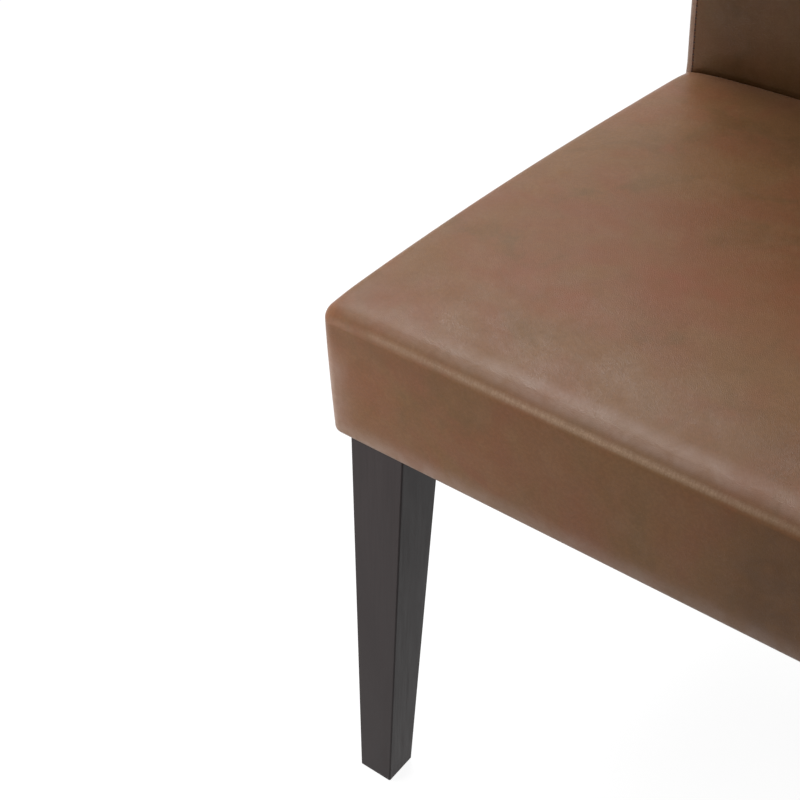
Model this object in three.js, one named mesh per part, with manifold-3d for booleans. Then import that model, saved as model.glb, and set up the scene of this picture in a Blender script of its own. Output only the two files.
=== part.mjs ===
// Parsons chair: a hardwood frame with leather upholstery, square tapered front legs and raked rear legs.
// Millimetres, +Z up, the front of the chair towards -Y. Left is -X, as seen from in front.
// Until the last lines Y is zero on the straight front face of the seat and Z is zero on the floor.
import * as THREE from "three";
import { mergeVertices } from "three/addons/utils/BufferGeometryUtils.js";
import Module from "manifold-3d";

// Overall sizes
const SEAT_HEIGHT = 482;
const SEAT_FRONT_WIDTH = 470;
const SEAT_RUN_IN = 31;
const SEAT_DEPTH = 455;
const SEAT_BOX_HEIGHT = 110.4;
const CHAIR_HEIGHT = 985;
const BACK_STEP_OUT = 3;
const BACK_FLARE = 23;
const BACK_RECLINE = 57;
const REAR_LEG_RAKE = 45;

// Clearances and overruns
const GAP = 0.3;
const OVERRUN = 2;
const MERGE_TOLERANCE = 1e-4;

// Front legs
const LEG_TOP = 46;
const LEG_FOOT = 31;
const LEG_SIDE_SETBACK = 21.7;
const LEG_FRONT_SETBACK = 6.8;
const LEG_SIDE_LEAN = 1.6;
const LEG_FRONT_LEAN = 0.4;
const LEG_EDGE = 0.8;

// Rear legs, which run on up as the posts of the back
const POST_WIDTH = 34;
const POST_TOP_WIDTH = 28;
const POST_DEPTH = 30;
const POST_TOP_DEPTH = 25;
const REAR_FOOT = 28;
const POST_EDGE = 1.2;
const POST_TOP_SETBACK = 16;

// Seat rails and their joints
const RAIL_HEIGHT = 62;
const FRONT_RAIL_THICKNESS = 20;
const SIDE_RAIL_THICKNESS = 18;
const TENON_THICKNESS = 8;
const TENON_LENGTH = 17;
const TENON_SHOULDER = 10;
const SIDE_PADDING = 5.2;
const RAIL_CORNER_CUT = 6;

// Corner blocks and screws
const BLOCK_HEIGHT = 38;
const BLOCK_REACH = 62;
const SCREW_RADIUS = 2.1;
const SCREW_HEAD_RADIUS = 4.4;
const SCREW_HEAD_HEIGHT = 2.8;
const SCREW_HEAD_RIM = 0.7;
const SCREW_HEAD_CROWN = 2.6;
const BLOCK_SCREW_LENGTH = 46;
const BLOCK_SCREW_INSET = 17;
const RAIL_SCREW_LENGTH = 48;
const RAIL_SCREW_SPACING = 30;
const SCREW_SIDES = 8;

// Seat springs
const SPRING_COUNT = 4;
const SPRING_SIDE_CLEARANCE = 12;
const SPRING_WIRE_RADIUS = 1.9;
const SPRING_LOOP_WIDTH = 48;
const SPRING_WAVES = 15;
const SPRING_RISE = 3;
const SPRING_STEPS = 92;
const SPRING_SIDES = 5;
const SPRING_LOOP_LEAN_SHARE = 0.16;
const CLIP_WIDTH = 20;
const CLIP_LAP = 3;
const CLIP_LENGTH = 13;
const CLIP_STEEL = 1;

// Padding
const FELT_THICKNESS = 2.4;
const BACK_FOAM = 22;
const BACK_TOP_FOAM = 12;
const PAD_START = 8;

// Leather and its seams
const LEATHER = 1.1;
const SEAT_CORNER_RADIUS = 13;
const SEAT_TOP_RADIUS = 11.5;
const SEAT_BOTTOM_RADIUS = 5;
const SEAT_TUCK = 4.4;
const SEAT_SIDE_BOW = 4.4;
const SEAT_FRONT_BULGE = 1.6;
const SEAT_CROWN = 8;
const REAR_CROWN = 5.5;
const EDGE_CROWN_SHARE = 0.4;
const REAR_CROWN_SHARE = 0.35;
const SEAT_ROLL = 10;
const SEAT_HEM = 22;
const SEAT_REAR_FLAP = 24;
const BACK_CORNER_RADIUS = 26;
const BACK_FRONT_EDGE_RADIUS = 7.5;
const BACK_REAR_EDGE_RADIUS = 6;
const BACK_FRONT_CROWN = 5;
const BACK_TOP_CROWN = 6;
const FRONT_SEAM_INSET = 7;
const REAR_SEAM_INSET = 3.5;
const BACK_TUCK_DEPTH = 22;
const SEAM_GAP = 0.8;
const BOXING_BULGE = 0.8;
const REAR_FLAP = 20;
const LEAST_CORNER_RADIUS = 1.5;

// Back rails, webbing and board
const CREST_RAIL_HEIGHT = 64;
const MID_RAIL_HEIGHT = 46;
const LOWER_RAIL_HEIGHT = 46;
const BACK_RAIL_THICKNESS = 20;
const LOWER_RAIL_RISE = 40;
const WEB_WIDTH = 50;
const WEB_THICKNESS = 2;
const WEB_COUNT = 3;
const BOARD_THICKNESS = 3;

// Underside
const DUST_COVER_THICKNESS = 0.8;
const DUST_COVER_INSET = 3;
const GLIDE_RADIUS = 9;
const GLIDE_HEIGHT = 2;
const GLIDE_EDGE = 0.7;
const GLIDE_NAIL_RADIUS = 1.6;
const GLIDE_NAIL_LENGTH = 15;
const GLIDE_SIDES = 16;

// Heights and half widths that follow
const FOOT = GLIDE_HEIGHT;
const SEAT_BOTTOM = SEAT_HEIGHT - SEAT_BOX_HEIGHT;
const RAIL_BOTTOM = SEAT_BOTTOM + SEAT_BOTTOM_RADIUS;
const RAIL_TOP = RAIL_BOTTOM + RAIL_HEIGHT;
const RAIL_MIDDLE = (RAIL_BOTTOM + RAIL_TOP) / 2;
const SEAT_HALF = SEAT_FRONT_WIDTH / 2;
const SEAT_REAR_HALF = SEAT_HALF - SEAT_RUN_IN;
const BACK_HALF_OVER_SEAT = SEAT_REAR_HALF + BACK_STEP_OUT;
const SIDE_ANGLE = Math.atan2(SEAT_RUN_IN, SEAT_DEPTH);
const LEG_OUTER = SEAT_HALF - LEG_SIDE_SETBACK;
const LEG_INNER = LEG_OUTER - LEG_TOP;
const LEG_FRONT = LEG_FRONT_SETBACK;
const LEG_REAR = LEG_FRONT + LEG_TOP;
const POST_FRONT_STACK = LEATHER + WEB_THICKNESS + 3 * GAP;
const POST_REAR_STACK = LEATHER + BOARD_THICKNESS + 2 * GAP;
const POST_FRONT = SEAT_DEPTH + POST_FRONT_STACK + BACK_FOAM;
const POST_REAR = POST_FRONT + POST_DEPTH;
const BACK_TOP = CHAIR_HEIGHT - BACK_TOP_CROWN;
const POST_TOP = BACK_TOP - POST_TOP_SETBACK;

const wasm = await Module();
wasm.setup();

// Solids and joins

function solidOf(geometry) {
  const plain = geometry.clone();
  plain.deleteAttribute("normal");
  plain.deleteAttribute("uv");
  const merged = mergeVertices(plain, MERGE_TOLERANCE);
  const mesh = new wasm.Mesh({
    numProp: 3,
    vertProperties: merged.attributes.position.array,
    triVerts: new Uint32Array(merged.index.array),
  });
  return new wasm.Manifold(mesh);
}

function geometryOf(solid) {
  const mesh = solid.getMesh();
  const geometry = new THREE.BufferGeometry();
  geometry.setAttribute("position", new THREE.BufferAttribute(new Float32Array(mesh.vertProperties), 3));
  geometry.setIndex(new THREE.BufferAttribute(new Uint32Array(mesh.triVerts), 1));
  geometry.computeVertexNormals();
  return geometry;
}

function joined(base, ...others) {
  return geometryOf(others.reduce((sum, other) => sum.add(solidOf(other)), solidOf(base)));
}

function cut(base, ...tools) {
  return geometryOf(tools.reduce((rest, tool) => rest.subtract(solidOf(tool)), solidOf(base)));
}

// A closed solid through rings of equally many points, with its two ends capped.
function loft(rings, flat = (p) => new THREE.Vector2(p.x, p.y)) {
  const count = rings[0].length;
  const positions = rings.flat().flatMap((p) => [p.x, p.y, p.z]);
  const faces = [];
  for (let r = 0; r + 1 < rings.length; r++) {
    for (let i = 0; i < count; i++) {
      const a = r * count + i;
      const b = r * count + ((i + 1) % count);
      faces.push(a, b, b + count, a, b + count, a + count);
    }
  }
  faces.push(...capFaces(rings[0].map(flat), 0, true));
  faces.push(...capFaces(rings[rings.length - 1].map(flat), (rings.length - 1) * count, false));
  return facingOut(positions, faces);
}

// The triangles that close an end ring, numbered from its first point.
function capFaces(ring, first, downwards) {
  const clockwise = THREE.ShapeUtils.area(ring) < 0;
  return THREE.ShapeUtils.triangulateShape(ring, []).flatMap(([a, b, c]) => {
    const corners = clockwise === downwards ? [a, b, c] : [a, c, b];
    return corners.map((corner) => first + corner);
  });
}

// A geometry whose faces are turned, where needed, to point out of it.
function facingOut(positions, faces) {
  let volume = 0;
  const at = (i) => new THREE.Vector3(positions[3 * i], positions[3 * i + 1], positions[3 * i + 2]);
  for (let i = 0; i < faces.length; i += 3) {
    volume += at(faces[i]).dot(at(faces[i + 1]).cross(at(faces[i + 2])));
  }
  const ordered = volume < 0 ? faces.slice().reverse() : faces;
  const geometry = new THREE.BufferGeometry();
  geometry.setAttribute("position", new THREE.Float32BufferAttribute(positions, 3));
  geometry.setIndex(ordered);
  geometry.computeVertexNormals();
  return geometry;
}

// An upright prism over plan points.
function prism(points, bottom, top) {
  const shape = new THREE.Shape(points.map(([x, y]) => new THREE.Vector2(x, y)));
  const geometry = new THREE.ExtrudeGeometry(shape, { depth: top - bottom, bevelEnabled: false });
  return geometry.translate(0, 0, bottom);
}

function block(low, high) {
  const size = new THREE.Vector3().subVectors(high, low);
  const geometry = new THREE.BoxGeometry(size.x, size.y, size.z);
  return geometry.translate((low.x + high.x) / 2, (low.y + high.y) / 2, (low.z + high.z) / 2);
}

const vec = (x, y, z) => new THREE.Vector3(x, y, z);
const mix = THREE.MathUtils.lerp;
const clamp01 = (t) => THREE.MathUtils.clamp(t, 0, 1);

// A ring of a rectangle with eased edges, between two plan corners.
function boxRing(x0, x1, y0, y1, z, edge) {
  const corners = [
    [x0, y0, edge, edge],
    [x1, y0, -edge, edge],
    [x1, y1, -edge, -edge],
    [x0, y1, edge, -edge],
  ];
  return corners.flatMap(([x, y, dx, dy], i) => {
    const along = vec(x + dx, y, z);
    const across = vec(x, y + dy, z);
    return i % 2 ? [along, across] : [across, along];
  });
}

// Finishes

function finish(color, roughness, metalness = 0) {
  return () => new THREE.MeshStandardMaterial({ color, roughness, metalness });
}

const leather = finish(0x7c5c45, 0.55);
const stainedWood = finish(0x3a3331, 0.45);
const bareWood = finish(0xc8a878, 0.75);
const plywood = finish(0xb99868, 0.8);
const springSteel = finish(0x77787a, 0.35, 1);
const zincSteel = finish(0xb4b6b4, 0.4, 1);
const foam = finish(0xe6dcae, 0.95);
const wadding = finish(0xf0eeea, 0.98);
const felt = finish(0x8c8a86, 0.98);
const jute = finish(0x9a7c52, 0.95);
const cambric = finish(0x17171a, 0.95);
const fibreboard = finish(0x7a5a3c, 0.9);
const nylon = finish(0x1d1c1b, 0.5);

function piece(name, geometry, material) {
  const mesh = new THREE.Mesh(geometry, material());
  mesh.name = name;
  return mesh;
}

// A left piece and its mirror image.
function pair(name, geometry, material) {
  const group = new THREE.Group();
  const left = piece(name + "_left", geometry, material);
  const right = piece(name + "_right", geometry, material);
  right.scale.x = -1;
  group.add(left, right);
  return group;
}

// Plan of the seat: half width of the straight side line at a depth, and the rail lines inside it.
const sideHalf = (y) => SEAT_HALF - (SEAT_RUN_IN * y) / SEAT_DEPTH;
const RAIL_SETBACK = (LEATHER + SIDE_PADDING + GAP * 2) / Math.cos(SIDE_ANGLE);
const railOuter = (y) => sideHalf(y) - RAIL_SETBACK;
const railInner = (y) => railOuter(y) - SIDE_RAIL_THICKNESS / Math.cos(SIDE_ANGLE);
const POST_OUTER = railOuter(POST_FRONT);
const POST_INNER = POST_OUTER - POST_WIDTH;

// Front legs: the outer faces stand nearly upright and the inner faces taper to the foot.
function legBody() {
  const foot = boxRing(
    -LEG_OUTER + LEG_SIDE_LEAN,
    -LEG_OUTER + LEG_SIDE_LEAN + LEG_FOOT,
    LEG_FRONT + LEG_FRONT_LEAN,
    LEG_FRONT + LEG_FRONT_LEAN + LEG_FOOT,
    FOOT,
    LEG_EDGE,
  );
  const top = boxRing(-LEG_OUTER, -LEG_INNER, LEG_FRONT, LEG_REAR, SEAT_BOTTOM, LEG_EDGE);
  return loft([foot, top, boxRing(-LEG_OUTER, -LEG_INNER, LEG_FRONT, LEG_REAR, RAIL_TOP, LEG_EDGE)]);
}

// The cheek that the side rail laps is planed to the angle of the rail.
function legCheek() {
  const outside = LEG_OUTER + SIDE_RAIL_THICKNESS;
  const front = LEG_FRONT - OVERRUN;
  const rear = LEG_REAR + OVERRUN;
  return prism(
    [
      [-outside, front],
      [-railInner(front) + GAP, front],
      [-railInner(rear) + GAP, rear],
      [-outside, rear],
    ],
    RAIL_BOTTOM - GAP,
    RAIL_TOP + OVERRUN,
  );
}

function frontTenon(slack) {
  const middle = LEG_FRONT + FRONT_RAIL_THICKNESS / 2;
  const half = TENON_THICKNESS / 2 + slack;
  return block(
    vec(-LEG_INNER - TENON_LENGTH - slack, middle - half, RAIL_BOTTOM + TENON_SHOULDER - slack),
    vec(-LEG_INNER + OVERRUN, middle + half, RAIL_TOP - TENON_SHOULDER + slack),
  );
}

// Screws: a turned body with a domed head, pointing along +Z with the underside of the head at zero.
function screwShape(length) {
  const tip = length - SCREW_RADIUS * 2;
  const profile = [
    [0, -SCREW_HEAD_HEIGHT],
    [SCREW_HEAD_CROWN, -SCREW_HEAD_HEIGHT],
    [SCREW_HEAD_RADIUS, -SCREW_HEAD_RIM],
    [SCREW_HEAD_RADIUS, 0],
    [SCREW_RADIUS, 0],
    [SCREW_RADIUS, tip],
    [0, length],
  ];
  const points = profile.map(([r, y]) => new THREE.Vector2(r, y));
  return new THREE.LatheGeometry(points, SCREW_SIDES).rotateX(Math.PI / 2);
}

function screwHole(length) {
  const radius = SCREW_RADIUS + GAP;
  const hole = new THREE.CylinderGeometry(radius, radius, length + OVERRUN, SCREW_SIDES);
  return hole.rotateX(Math.PI / 2).translate(0, 0, (length + OVERRUN) / 2 - OVERRUN / 2);
}

function headPocket() {
  const depth = SCREW_HEAD_HEIGHT + GAP;
  const radius = SCREW_HEAD_RADIUS + GAP;
  const pocket = new THREE.CylinderGeometry(radius, radius, depth + OVERRUN, SCREW_SIDES);
  return pocket.rotateX(Math.PI / 2).translate(0, 0, GAP - (depth + OVERRUN) / 2);
}

// Turns a shape that points along +Z to a direction and moves it to a point.
function aimed(geometry, at, direction) {
  const turn = new THREE.Quaternion().setFromUnitVectors(vec(0, 0, 1), direction.clone().normalize());
  return geometry.applyQuaternion(turn).translate(at.x, at.y, at.z);
}

// Two screws hold each side rail to the cheek of its front leg.
const RAIL_SCREW_Y = (LEG_FRONT + LEG_REAR) / 2;
const RAIL_SCREW_DIRECTION = vec(Math.cos(SIDE_ANGLE), -Math.sin(SIDE_ANGLE), 0);

function railScrewPlaces() {
  const sunk = SCREW_HEAD_HEIGHT + GAP;
  const x = -railOuter(RAIL_SCREW_Y) + sunk;
  return [-1, 1].map((side) => vec(x, RAIL_SCREW_Y, RAIL_MIDDLE + (side * RAIL_SCREW_SPACING) / 2));
}

function railScrewHole(at) {
  return aimed(screwHole(RAIL_SCREW_LENGTH), at, RAIL_SCREW_DIRECTION);
}

// Corner blocks: plan corners from the cross rail round the front to the side rail, notched for the post.
const FRONT_BLOCK = {
  cross: LEG_FRONT + FRONT_RAIL_THICKNESS + GAP,
  notchX: LEG_INNER - GAP,
  notchY: LEG_REAR + GAP,
  inward: 1,
};
const REAR_BLOCK = {
  cross: POST_FRONT - GAP * 2,
  notchX: POST_INNER - GAP,
  notchY: POST_FRONT - GAP,
  inward: -1,
};

function blockCorners(at) {
  const far = at.notchY + at.inward * BLOCK_REACH;
  return {
    crossEnd: [-at.notchX + BLOCK_REACH, at.cross],
    sideEnd: [-railInner(far) + GAP, far],
  };
}

function cornerBlockPlan(at) {
  const { crossEnd, sideEnd } = blockCorners(at);
  const blunt = BLOCK_SCREW_INSET / 2;
  return [
    [-at.notchX, at.cross],
    crossEnd,
    [crossEnd[0], crossEnd[1] + at.inward * blunt],
    [sideEnd[0] + blunt, sideEnd[1]],
    sideEnd,
    [-railInner(at.notchY) + GAP, at.notchY],
    [-at.notchX, at.notchY],
  ];
}

// The two screws of a block stand square to its slanting face, near its ends.
function blockScrews(at) {
  const { crossEnd, sideEnd } = blockCorners(at);
  const blunt = BLOCK_SCREW_INSET / 2;
  const a = vec(crossEnd[0], crossEnd[1] + at.inward * blunt, RAIL_MIDDLE);
  const b = vec(sideEnd[0] + blunt, sideEnd[1], RAIL_MIDDLE);
  const along = b.clone().sub(a).normalize();
  const into = vec(-Math.abs(along.y), -at.inward * Math.abs(along.x), 0);
  const first = a.clone().addScaledVector(along, BLOCK_SCREW_INSET);
  const second = b.clone().addScaledVector(along, -BLOCK_SCREW_INSET);
  return [
    { at: first, into },
    { at: second, into },
  ];
}

function blockScrewHoles(at) {
  return blockScrews(at).map((screw) => aimed(screwHole(BLOCK_SCREW_LENGTH), screw.at, screw.into));
}

function cornerBlock(at) {
  const body = prism(cornerBlockPlan(at), RAIL_MIDDLE - BLOCK_HEIGHT / 2, RAIL_MIDDLE + BLOCK_HEIGHT / 2);
  return cut(body, ...blockScrewHoles(at));
}

function cornerBlocks() {
  const group = new THREE.Group();
  for (const [name, at] of [["front", FRONT_BLOCK], ["rear", REAR_BLOCK]]) {
    group.add(pair(name + "_corner_block", cornerBlock(at), bareWood));
    blockScrews(at).forEach((screw, i) => {
      const place = screw.at.clone().addScaledVector(screw.into, -GAP);
      const shape = aimed(screwShape(BLOCK_SCREW_LENGTH), place, screw.into);
      group.add(pair(name + "_block_screw_" + (i + 1), shape, zincSteel));
    });
  }
  return group;
}

function glideNailHole(x, y) {
  const length = GLIDE_NAIL_LENGTH + GAP + OVERRUN;
  const radius = GLIDE_NAIL_RADIUS + GAP;
  const hole = new THREE.CylinderGeometry(radius, radius, length, SCREW_SIDES);
  return hole.rotateX(Math.PI / 2).translate(x, y, FOOT + length / 2 - OVERRUN);
}

const FRONT_FOOT_X = -LEG_OUTER + LEG_SIDE_LEAN + LEG_FOOT / 2;
const FRONT_FOOT = vec(FRONT_FOOT_X, LEG_FRONT + LEG_FRONT_LEAN + LEG_FOOT / 2, 0);
const REAR_FOOT_CENTRE = vec(-POST_OUTER + REAR_FOOT / 2, POST_REAR + REAR_LEG_RAKE - REAR_FOOT / 2, 0);

// A nail-on glide: a rounded disc with its nail in one piece.
function glide(at) {
  const top = GLIDE_HEIGHT - GAP;
  const profile = [
    [0, 0],
    [GLIDE_RADIUS - GLIDE_EDGE, 0],
    [GLIDE_RADIUS, GLIDE_EDGE],
    [GLIDE_RADIUS, top],
    [GLIDE_NAIL_RADIUS, top],
    [GLIDE_NAIL_RADIUS, FOOT + GLIDE_NAIL_LENGTH - GLIDE_NAIL_RADIUS],
    [0, FOOT + GLIDE_NAIL_LENGTH],
  ];
  const points = profile.map(([r, y]) => new THREE.Vector2(r, y));
  return new THREE.LatheGeometry(points, GLIDE_SIDES).rotateX(Math.PI / 2).translate(at.x, at.y, 0);
}

function glides() {
  const group = new THREE.Group();
  group.add(pair("front_glide", glide(FRONT_FOOT), nylon));
  group.add(pair("rear_glide", glide(REAR_FOOT_CENTRE), nylon));
  return group;
}

function frontLegs() {
  const rests = railScrewPlaces().map(railScrewHole);
  const body = cut(
    legBody(),
    legCheek(),
    frontTenon(GAP),
    glideNailHole(FRONT_FOOT.x, FRONT_FOOT.y),
    ...rests,
    ...blockScrewHoles(FRONT_BLOCK),
  );
  return pair("front_leg", body, stainedWood);
}

function frontRail() {
  const half = LEG_INNER - GAP;
  const rear = LEG_FRONT + FRONT_RAIL_THICKNESS;
  const body = block(vec(-half, LEG_FRONT, RAIL_BOTTOM), vec(half, rear, RAIL_TOP));
  const left = frontTenon(0);
  const right = frontTenon(0).scale(-1, 1, 1);
  const holes = blockScrewHoles(FRONT_BLOCK);
  const mirrored = blockScrewHoles(FRONT_BLOCK).map((hole) => hole.scale(-1, 1, 1));
  const turned = [right, ...mirrored].map(insideOutTurned);
  return piece("front_rail", cut(joined(body, left, turned[0]), ...holes, ...turned.slice(1)), bareWood);
}

// Turns the faces of a mirrored shape so that they point out again.
function insideOutTurned(geometry) {
  const merged = geometry.index ? geometry : mergeVertices(geometry);
  const index = Array.from(merged.index.array);
  merged.setIndex(index.reverse());
  return merged;
}

function sideTenon(slack) {
  const middle = (railOuter(POST_FRONT) + railInner(POST_FRONT)) / 2;
  const half = TENON_THICKNESS / 2 + slack;
  return block(
    vec(-middle - half, POST_FRONT - OVERRUN - GAP, RAIL_BOTTOM + TENON_SHOULDER - slack),
    vec(-middle + half, POST_FRONT + TENON_LENGTH + slack, RAIL_TOP - TENON_SHOULDER + slack),
  );
}

function sideRails() {
  const rear = POST_FRONT - GAP;
  const body = prism(
    [
      [-railOuter(LEG_FRONT + RAIL_CORNER_CUT), LEG_FRONT + RAIL_CORNER_CUT],
      [-railOuter(LEG_FRONT) + RAIL_CORNER_CUT, LEG_FRONT],
      [-railInner(LEG_FRONT), LEG_FRONT],
      [-railInner(rear), rear],
      [-railOuter(rear), rear],
    ],
    RAIL_BOTTOM,
    RAIL_TOP,
  );
  const screwed = railScrewPlaces().flatMap((at) => [
    railScrewHole(at),
    aimed(headPocket(), at, RAIL_SCREW_DIRECTION),
  ]);
  const blockHoles = [...blockScrewHoles(FRONT_BLOCK), ...blockScrewHoles(REAR_BLOCK)];
  const shape = cut(joined(body, sideTenon(0)), ...screwed, ...blockHoles);
  return pair("side_rail", shape, bareWood);
}

function railScrews() {
  const group = new THREE.Group();
  railScrewPlaces().forEach((at, i) => {
    const shape = aimed(screwShape(RAIL_SCREW_LENGTH), at, RAIL_SCREW_DIRECTION);
    group.add(pair("rail_screw_" + (i + 1), shape, zincSteel));
  });
  return group;
}

// Side view of the back above the seat: share of its height, recline, foam, post depth and half width.
const backShare = (z) => clamp01((z - SEAT_HEIGHT) / (CHAIR_HEIGHT - SEAT_HEIGHT));
const RECLINE_START_SHARE = 0.45;

function recline(z) {
  const t = backShare(z);
  return BACK_RECLINE * (RECLINE_START_SHARE * t + (1 - RECLINE_START_SHARE) * t * t);
}

const backFront = (z) => SEAT_DEPTH + recline(z);
const backFoam = (z) => mix(BACK_FOAM, BACK_TOP_FOAM, backShare(z));
const postFront = (z) => backFront(z) + POST_FRONT_STACK + backFoam(z);
const postDepth = (z) => mix(POST_DEPTH, POST_TOP_DEPTH, backShare(z));
const postWidth = (z) => mix(POST_WIDTH, POST_TOP_WIDTH, backShare(z));
const backRear = (z) => postFront(z) + postDepth(z) + POST_REAR_STACK;

function backHalf(z) {
  const t = backShare(z);
  return BACK_HALF_OVER_SEAT + BACK_FLARE * (2 * t - t * t);
}

const postOuter = (z) => POST_OUTER + backHalf(Math.max(z, SEAT_HEIGHT)) - BACK_HALF_OVER_SEAT;
const postInner = (z) => postOuter(z) - postWidth(z);
const POST_STATIONS = 9;

function rearLegBody() {
  const foot = boxRing(
    -POST_OUTER,
    -POST_OUTER + REAR_FOOT,
    POST_REAR + REAR_LEG_RAKE - REAR_FOOT,
    POST_REAR + REAR_LEG_RAKE,
    FOOT,
    POST_EDGE,
  );
  const heights = [SEAT_BOTTOM, SEAT_HEIGHT];
  for (let i = 1; i <= POST_STATIONS; i++) heights.push(mix(SEAT_HEIGHT, POST_TOP, i / POST_STATIONS));
  const upper = heights.map((z) =>
    boxRing(-postOuter(z), -postInner(z), postFront(z), postFront(z) + postDepth(z), z, POST_EDGE),
  );
  return loft([foot, ...upper]);
}

// Rails of the back lie between the posts, tilted with them.
const CREST_RAIL = { middle: POST_TOP - OVERRUN - CREST_RAIL_HEIGHT / 2, height: CREST_RAIL_HEIGHT };
const LOWER_RAIL = { middle: SEAT_HEIGHT + LOWER_RAIL_RISE, height: LOWER_RAIL_HEIGHT };
const MID_RAIL = { middle: (CREST_RAIL.middle + LOWER_RAIL.middle) / 2, height: MID_RAIL_HEIGHT };

function tilt(rail) {
  const low = rail.middle - rail.height / 2;
  const high = rail.middle + rail.height / 2;
  return Math.atan2(postFront(low) - postFront(high), high - low);
}

// Moves a shape drawn upright at the middle of a rail to the slant of the posts.
function tilted(geometry, rail) {
  const depth = postFront(rail.middle) + postDepth(rail.middle) / 2;
  return geometry.rotateX(tilt(rail)).translate(0, depth, rail.middle);
}

function backTenon(rail, side, slack) {
  const inner = postInner(rail.middle);
  const halfHeight = rail.height / 2 - TENON_SHOULDER + slack;
  const half = TENON_THICKNESS / 2 + slack;
  const near = inner - POST_EDGE - OVERRUN;
  const far = inner + TENON_LENGTH + slack;
  const low = vec(side < 0 ? -far : near, -half, -halfHeight);
  const high = vec(side < 0 ? -near : far, half, halfHeight);
  return tilted(block(low, high), rail);
}

function backRail(name, rail) {
  const half = rail.height / 2;
  const low = postInner(rail.middle - half) - GAP * 2;
  const high = postInner(rail.middle + half) - GAP * 2;
  const face = new THREE.Shape([
    new THREE.Vector2(-low, -half),
    new THREE.Vector2(low, -half),
    new THREE.Vector2(high, half),
    new THREE.Vector2(-high, half),
  ]);
  const board = new THREE.ExtrudeGeometry(face, { depth: BACK_RAIL_THICKNESS, bevelEnabled: false });
  board.rotateX(Math.PI / 2).translate(0, BACK_RAIL_THICKNESS / 2, 0);
  return piece(name, joined(tilted(board, rail), backTenon(rail, -1, 0), backTenon(rail, 1, 0)), bareWood);
}

// The seat's rear rail lies between the posts, level with the other seat rails.
const REAR_RAIL_FRONT = POST_FRONT;

function rearTenon(side, slack) {
  const middle = REAR_RAIL_FRONT + FRONT_RAIL_THICKNESS / 2;
  const half = TENON_THICKNESS / 2 + slack;
  const near = POST_INNER - OVERRUN;
  const far = POST_INNER + (POST_WIDTH - TENON_LENGTH) / 2 + slack;
  return block(
    vec(side < 0 ? -far : near, middle - half, RAIL_BOTTOM + TENON_SHOULDER - slack),
    vec(side < 0 ? -near : far, middle + half, RAIL_TOP - TENON_SHOULDER + slack),
  );
}

function rearRail() {
  const half = POST_INNER - GAP;
  const body = block(
    vec(-half, REAR_RAIL_FRONT, RAIL_BOTTOM),
    vec(half, REAR_RAIL_FRONT + FRONT_RAIL_THICKNESS, RAIL_TOP),
  );
  const mirrored = blockScrewHoles(REAR_BLOCK).map((hole) => insideOutTurned(hole.scale(-1, 1, 1)));
  const whole = joined(body, rearTenon(-1, 0), rearTenon(1, 0));
  return piece("rear_rail", cut(whole, ...blockScrewHoles(REAR_BLOCK), ...mirrored), bareWood);
}

function rearLegs() {
  const mortises = [CREST_RAIL, MID_RAIL, LOWER_RAIL].map((rail) => backTenon(rail, -1, GAP));
  const body = cut(
    rearLegBody(),
    ...mortises,
    rearTenon(-1, GAP),
    sideTenon(GAP),
    glideNailHole(REAR_FOOT_CENTRE.x, REAR_FOOT_CENTRE.y),
    ...blockScrewHoles(REAR_BLOCK),
  );
  return pair("rear_leg", body, stainedWood);
}

// Sinuous springs run from the front rail to the rear rail, arched a little, in a clip at each end.
const SPRING_FRONT = LEG_FRONT + FRONT_RAIL_THICKNESS - CLIP_LENGTH / 2;
const SPRING_REAR = REAR_RAIL_FRONT + CLIP_LENGTH / 2;
const SPRING_FIELD_HALF = POST_INNER - SPRING_SIDE_CLEARANCE - SPRING_WIRE_RADIUS;
const SPRING_SPACING = (2 * SPRING_FIELD_HALF - SPRING_LOOP_WIDTH) / (SPRING_COUNT - 1);
const SPRING_BED = RAIL_TOP + GAP + CLIP_STEEL + GAP + SPRING_WIRE_RADIUS;

class SpringCurve extends THREE.Curve {
  getPoint(t, target = vec(0, 0, 0)) {
    const pitch = (SPRING_REAR - SPRING_FRONT) / SPRING_WAVES;
    const wave = t * SPRING_WAVES;
    const turn = Math.PI * wave;
    const lean = Math.sin(2 * turn) * pitch * SPRING_LOOP_LEAN_SHARE;
    const across = (Math.sin(turn) * SPRING_LOOP_WIDTH) / 2;
    const rise = SPRING_RISE * Math.sin(Math.PI * t);
    return target.set(across, SPRING_FRONT + wave * pitch - lean, SPRING_BED + rise);
  }
}

function spring() {
  const section = new THREE.Shape();
  for (let i = 0; i < SPRING_SIDES; i++) {
    const a = (2 * Math.PI * i) / SPRING_SIDES;
    const x = SPRING_WIRE_RADIUS * Math.cos(a);
    const y = SPRING_WIRE_RADIUS * Math.sin(a);
    if (i) section.lineTo(x, y);
    else section.moveTo(x, y);
  }
  return new THREE.ExtrudeGeometry(section, { steps: SPRING_STEPS, extrudePath: new SpringCurve() });
}

// A clip: a steel strip under the end of the wire, folded up and back over it.
function clipShape(end) {
  const inside = SPRING_WIRE_RADIUS * 2 + GAP * 2;
  const top = CLIP_STEEL * 2 + inside;
  const half = CLIP_LENGTH / 2;
  const profile = [
    [-half, 0],
    [half, 0],
    [half, CLIP_STEEL],
    [-half + CLIP_STEEL, CLIP_STEEL],
    [-half + CLIP_STEEL, top - CLIP_STEEL],
    [half - CLIP_STEEL, top - CLIP_STEEL],
    [half - CLIP_STEEL, top],
    [-half, top],
  ];
  const shape = new THREE.Shape(profile.map(([y, z]) => new THREE.Vector2(y * end, z)));
  const strip = new THREE.ExtrudeGeometry(shape, { depth: CLIP_WIDTH, bevelEnabled: false });
  const turn = new THREE.Matrix4().makeBasis(vec(0, 1, 0), vec(0, 0, 1), vec(1, 0, 0));
  return strip.applyMatrix4(turn).translate(-CLIP_LAP, 0, RAIL_TOP + GAP);
}

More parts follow.
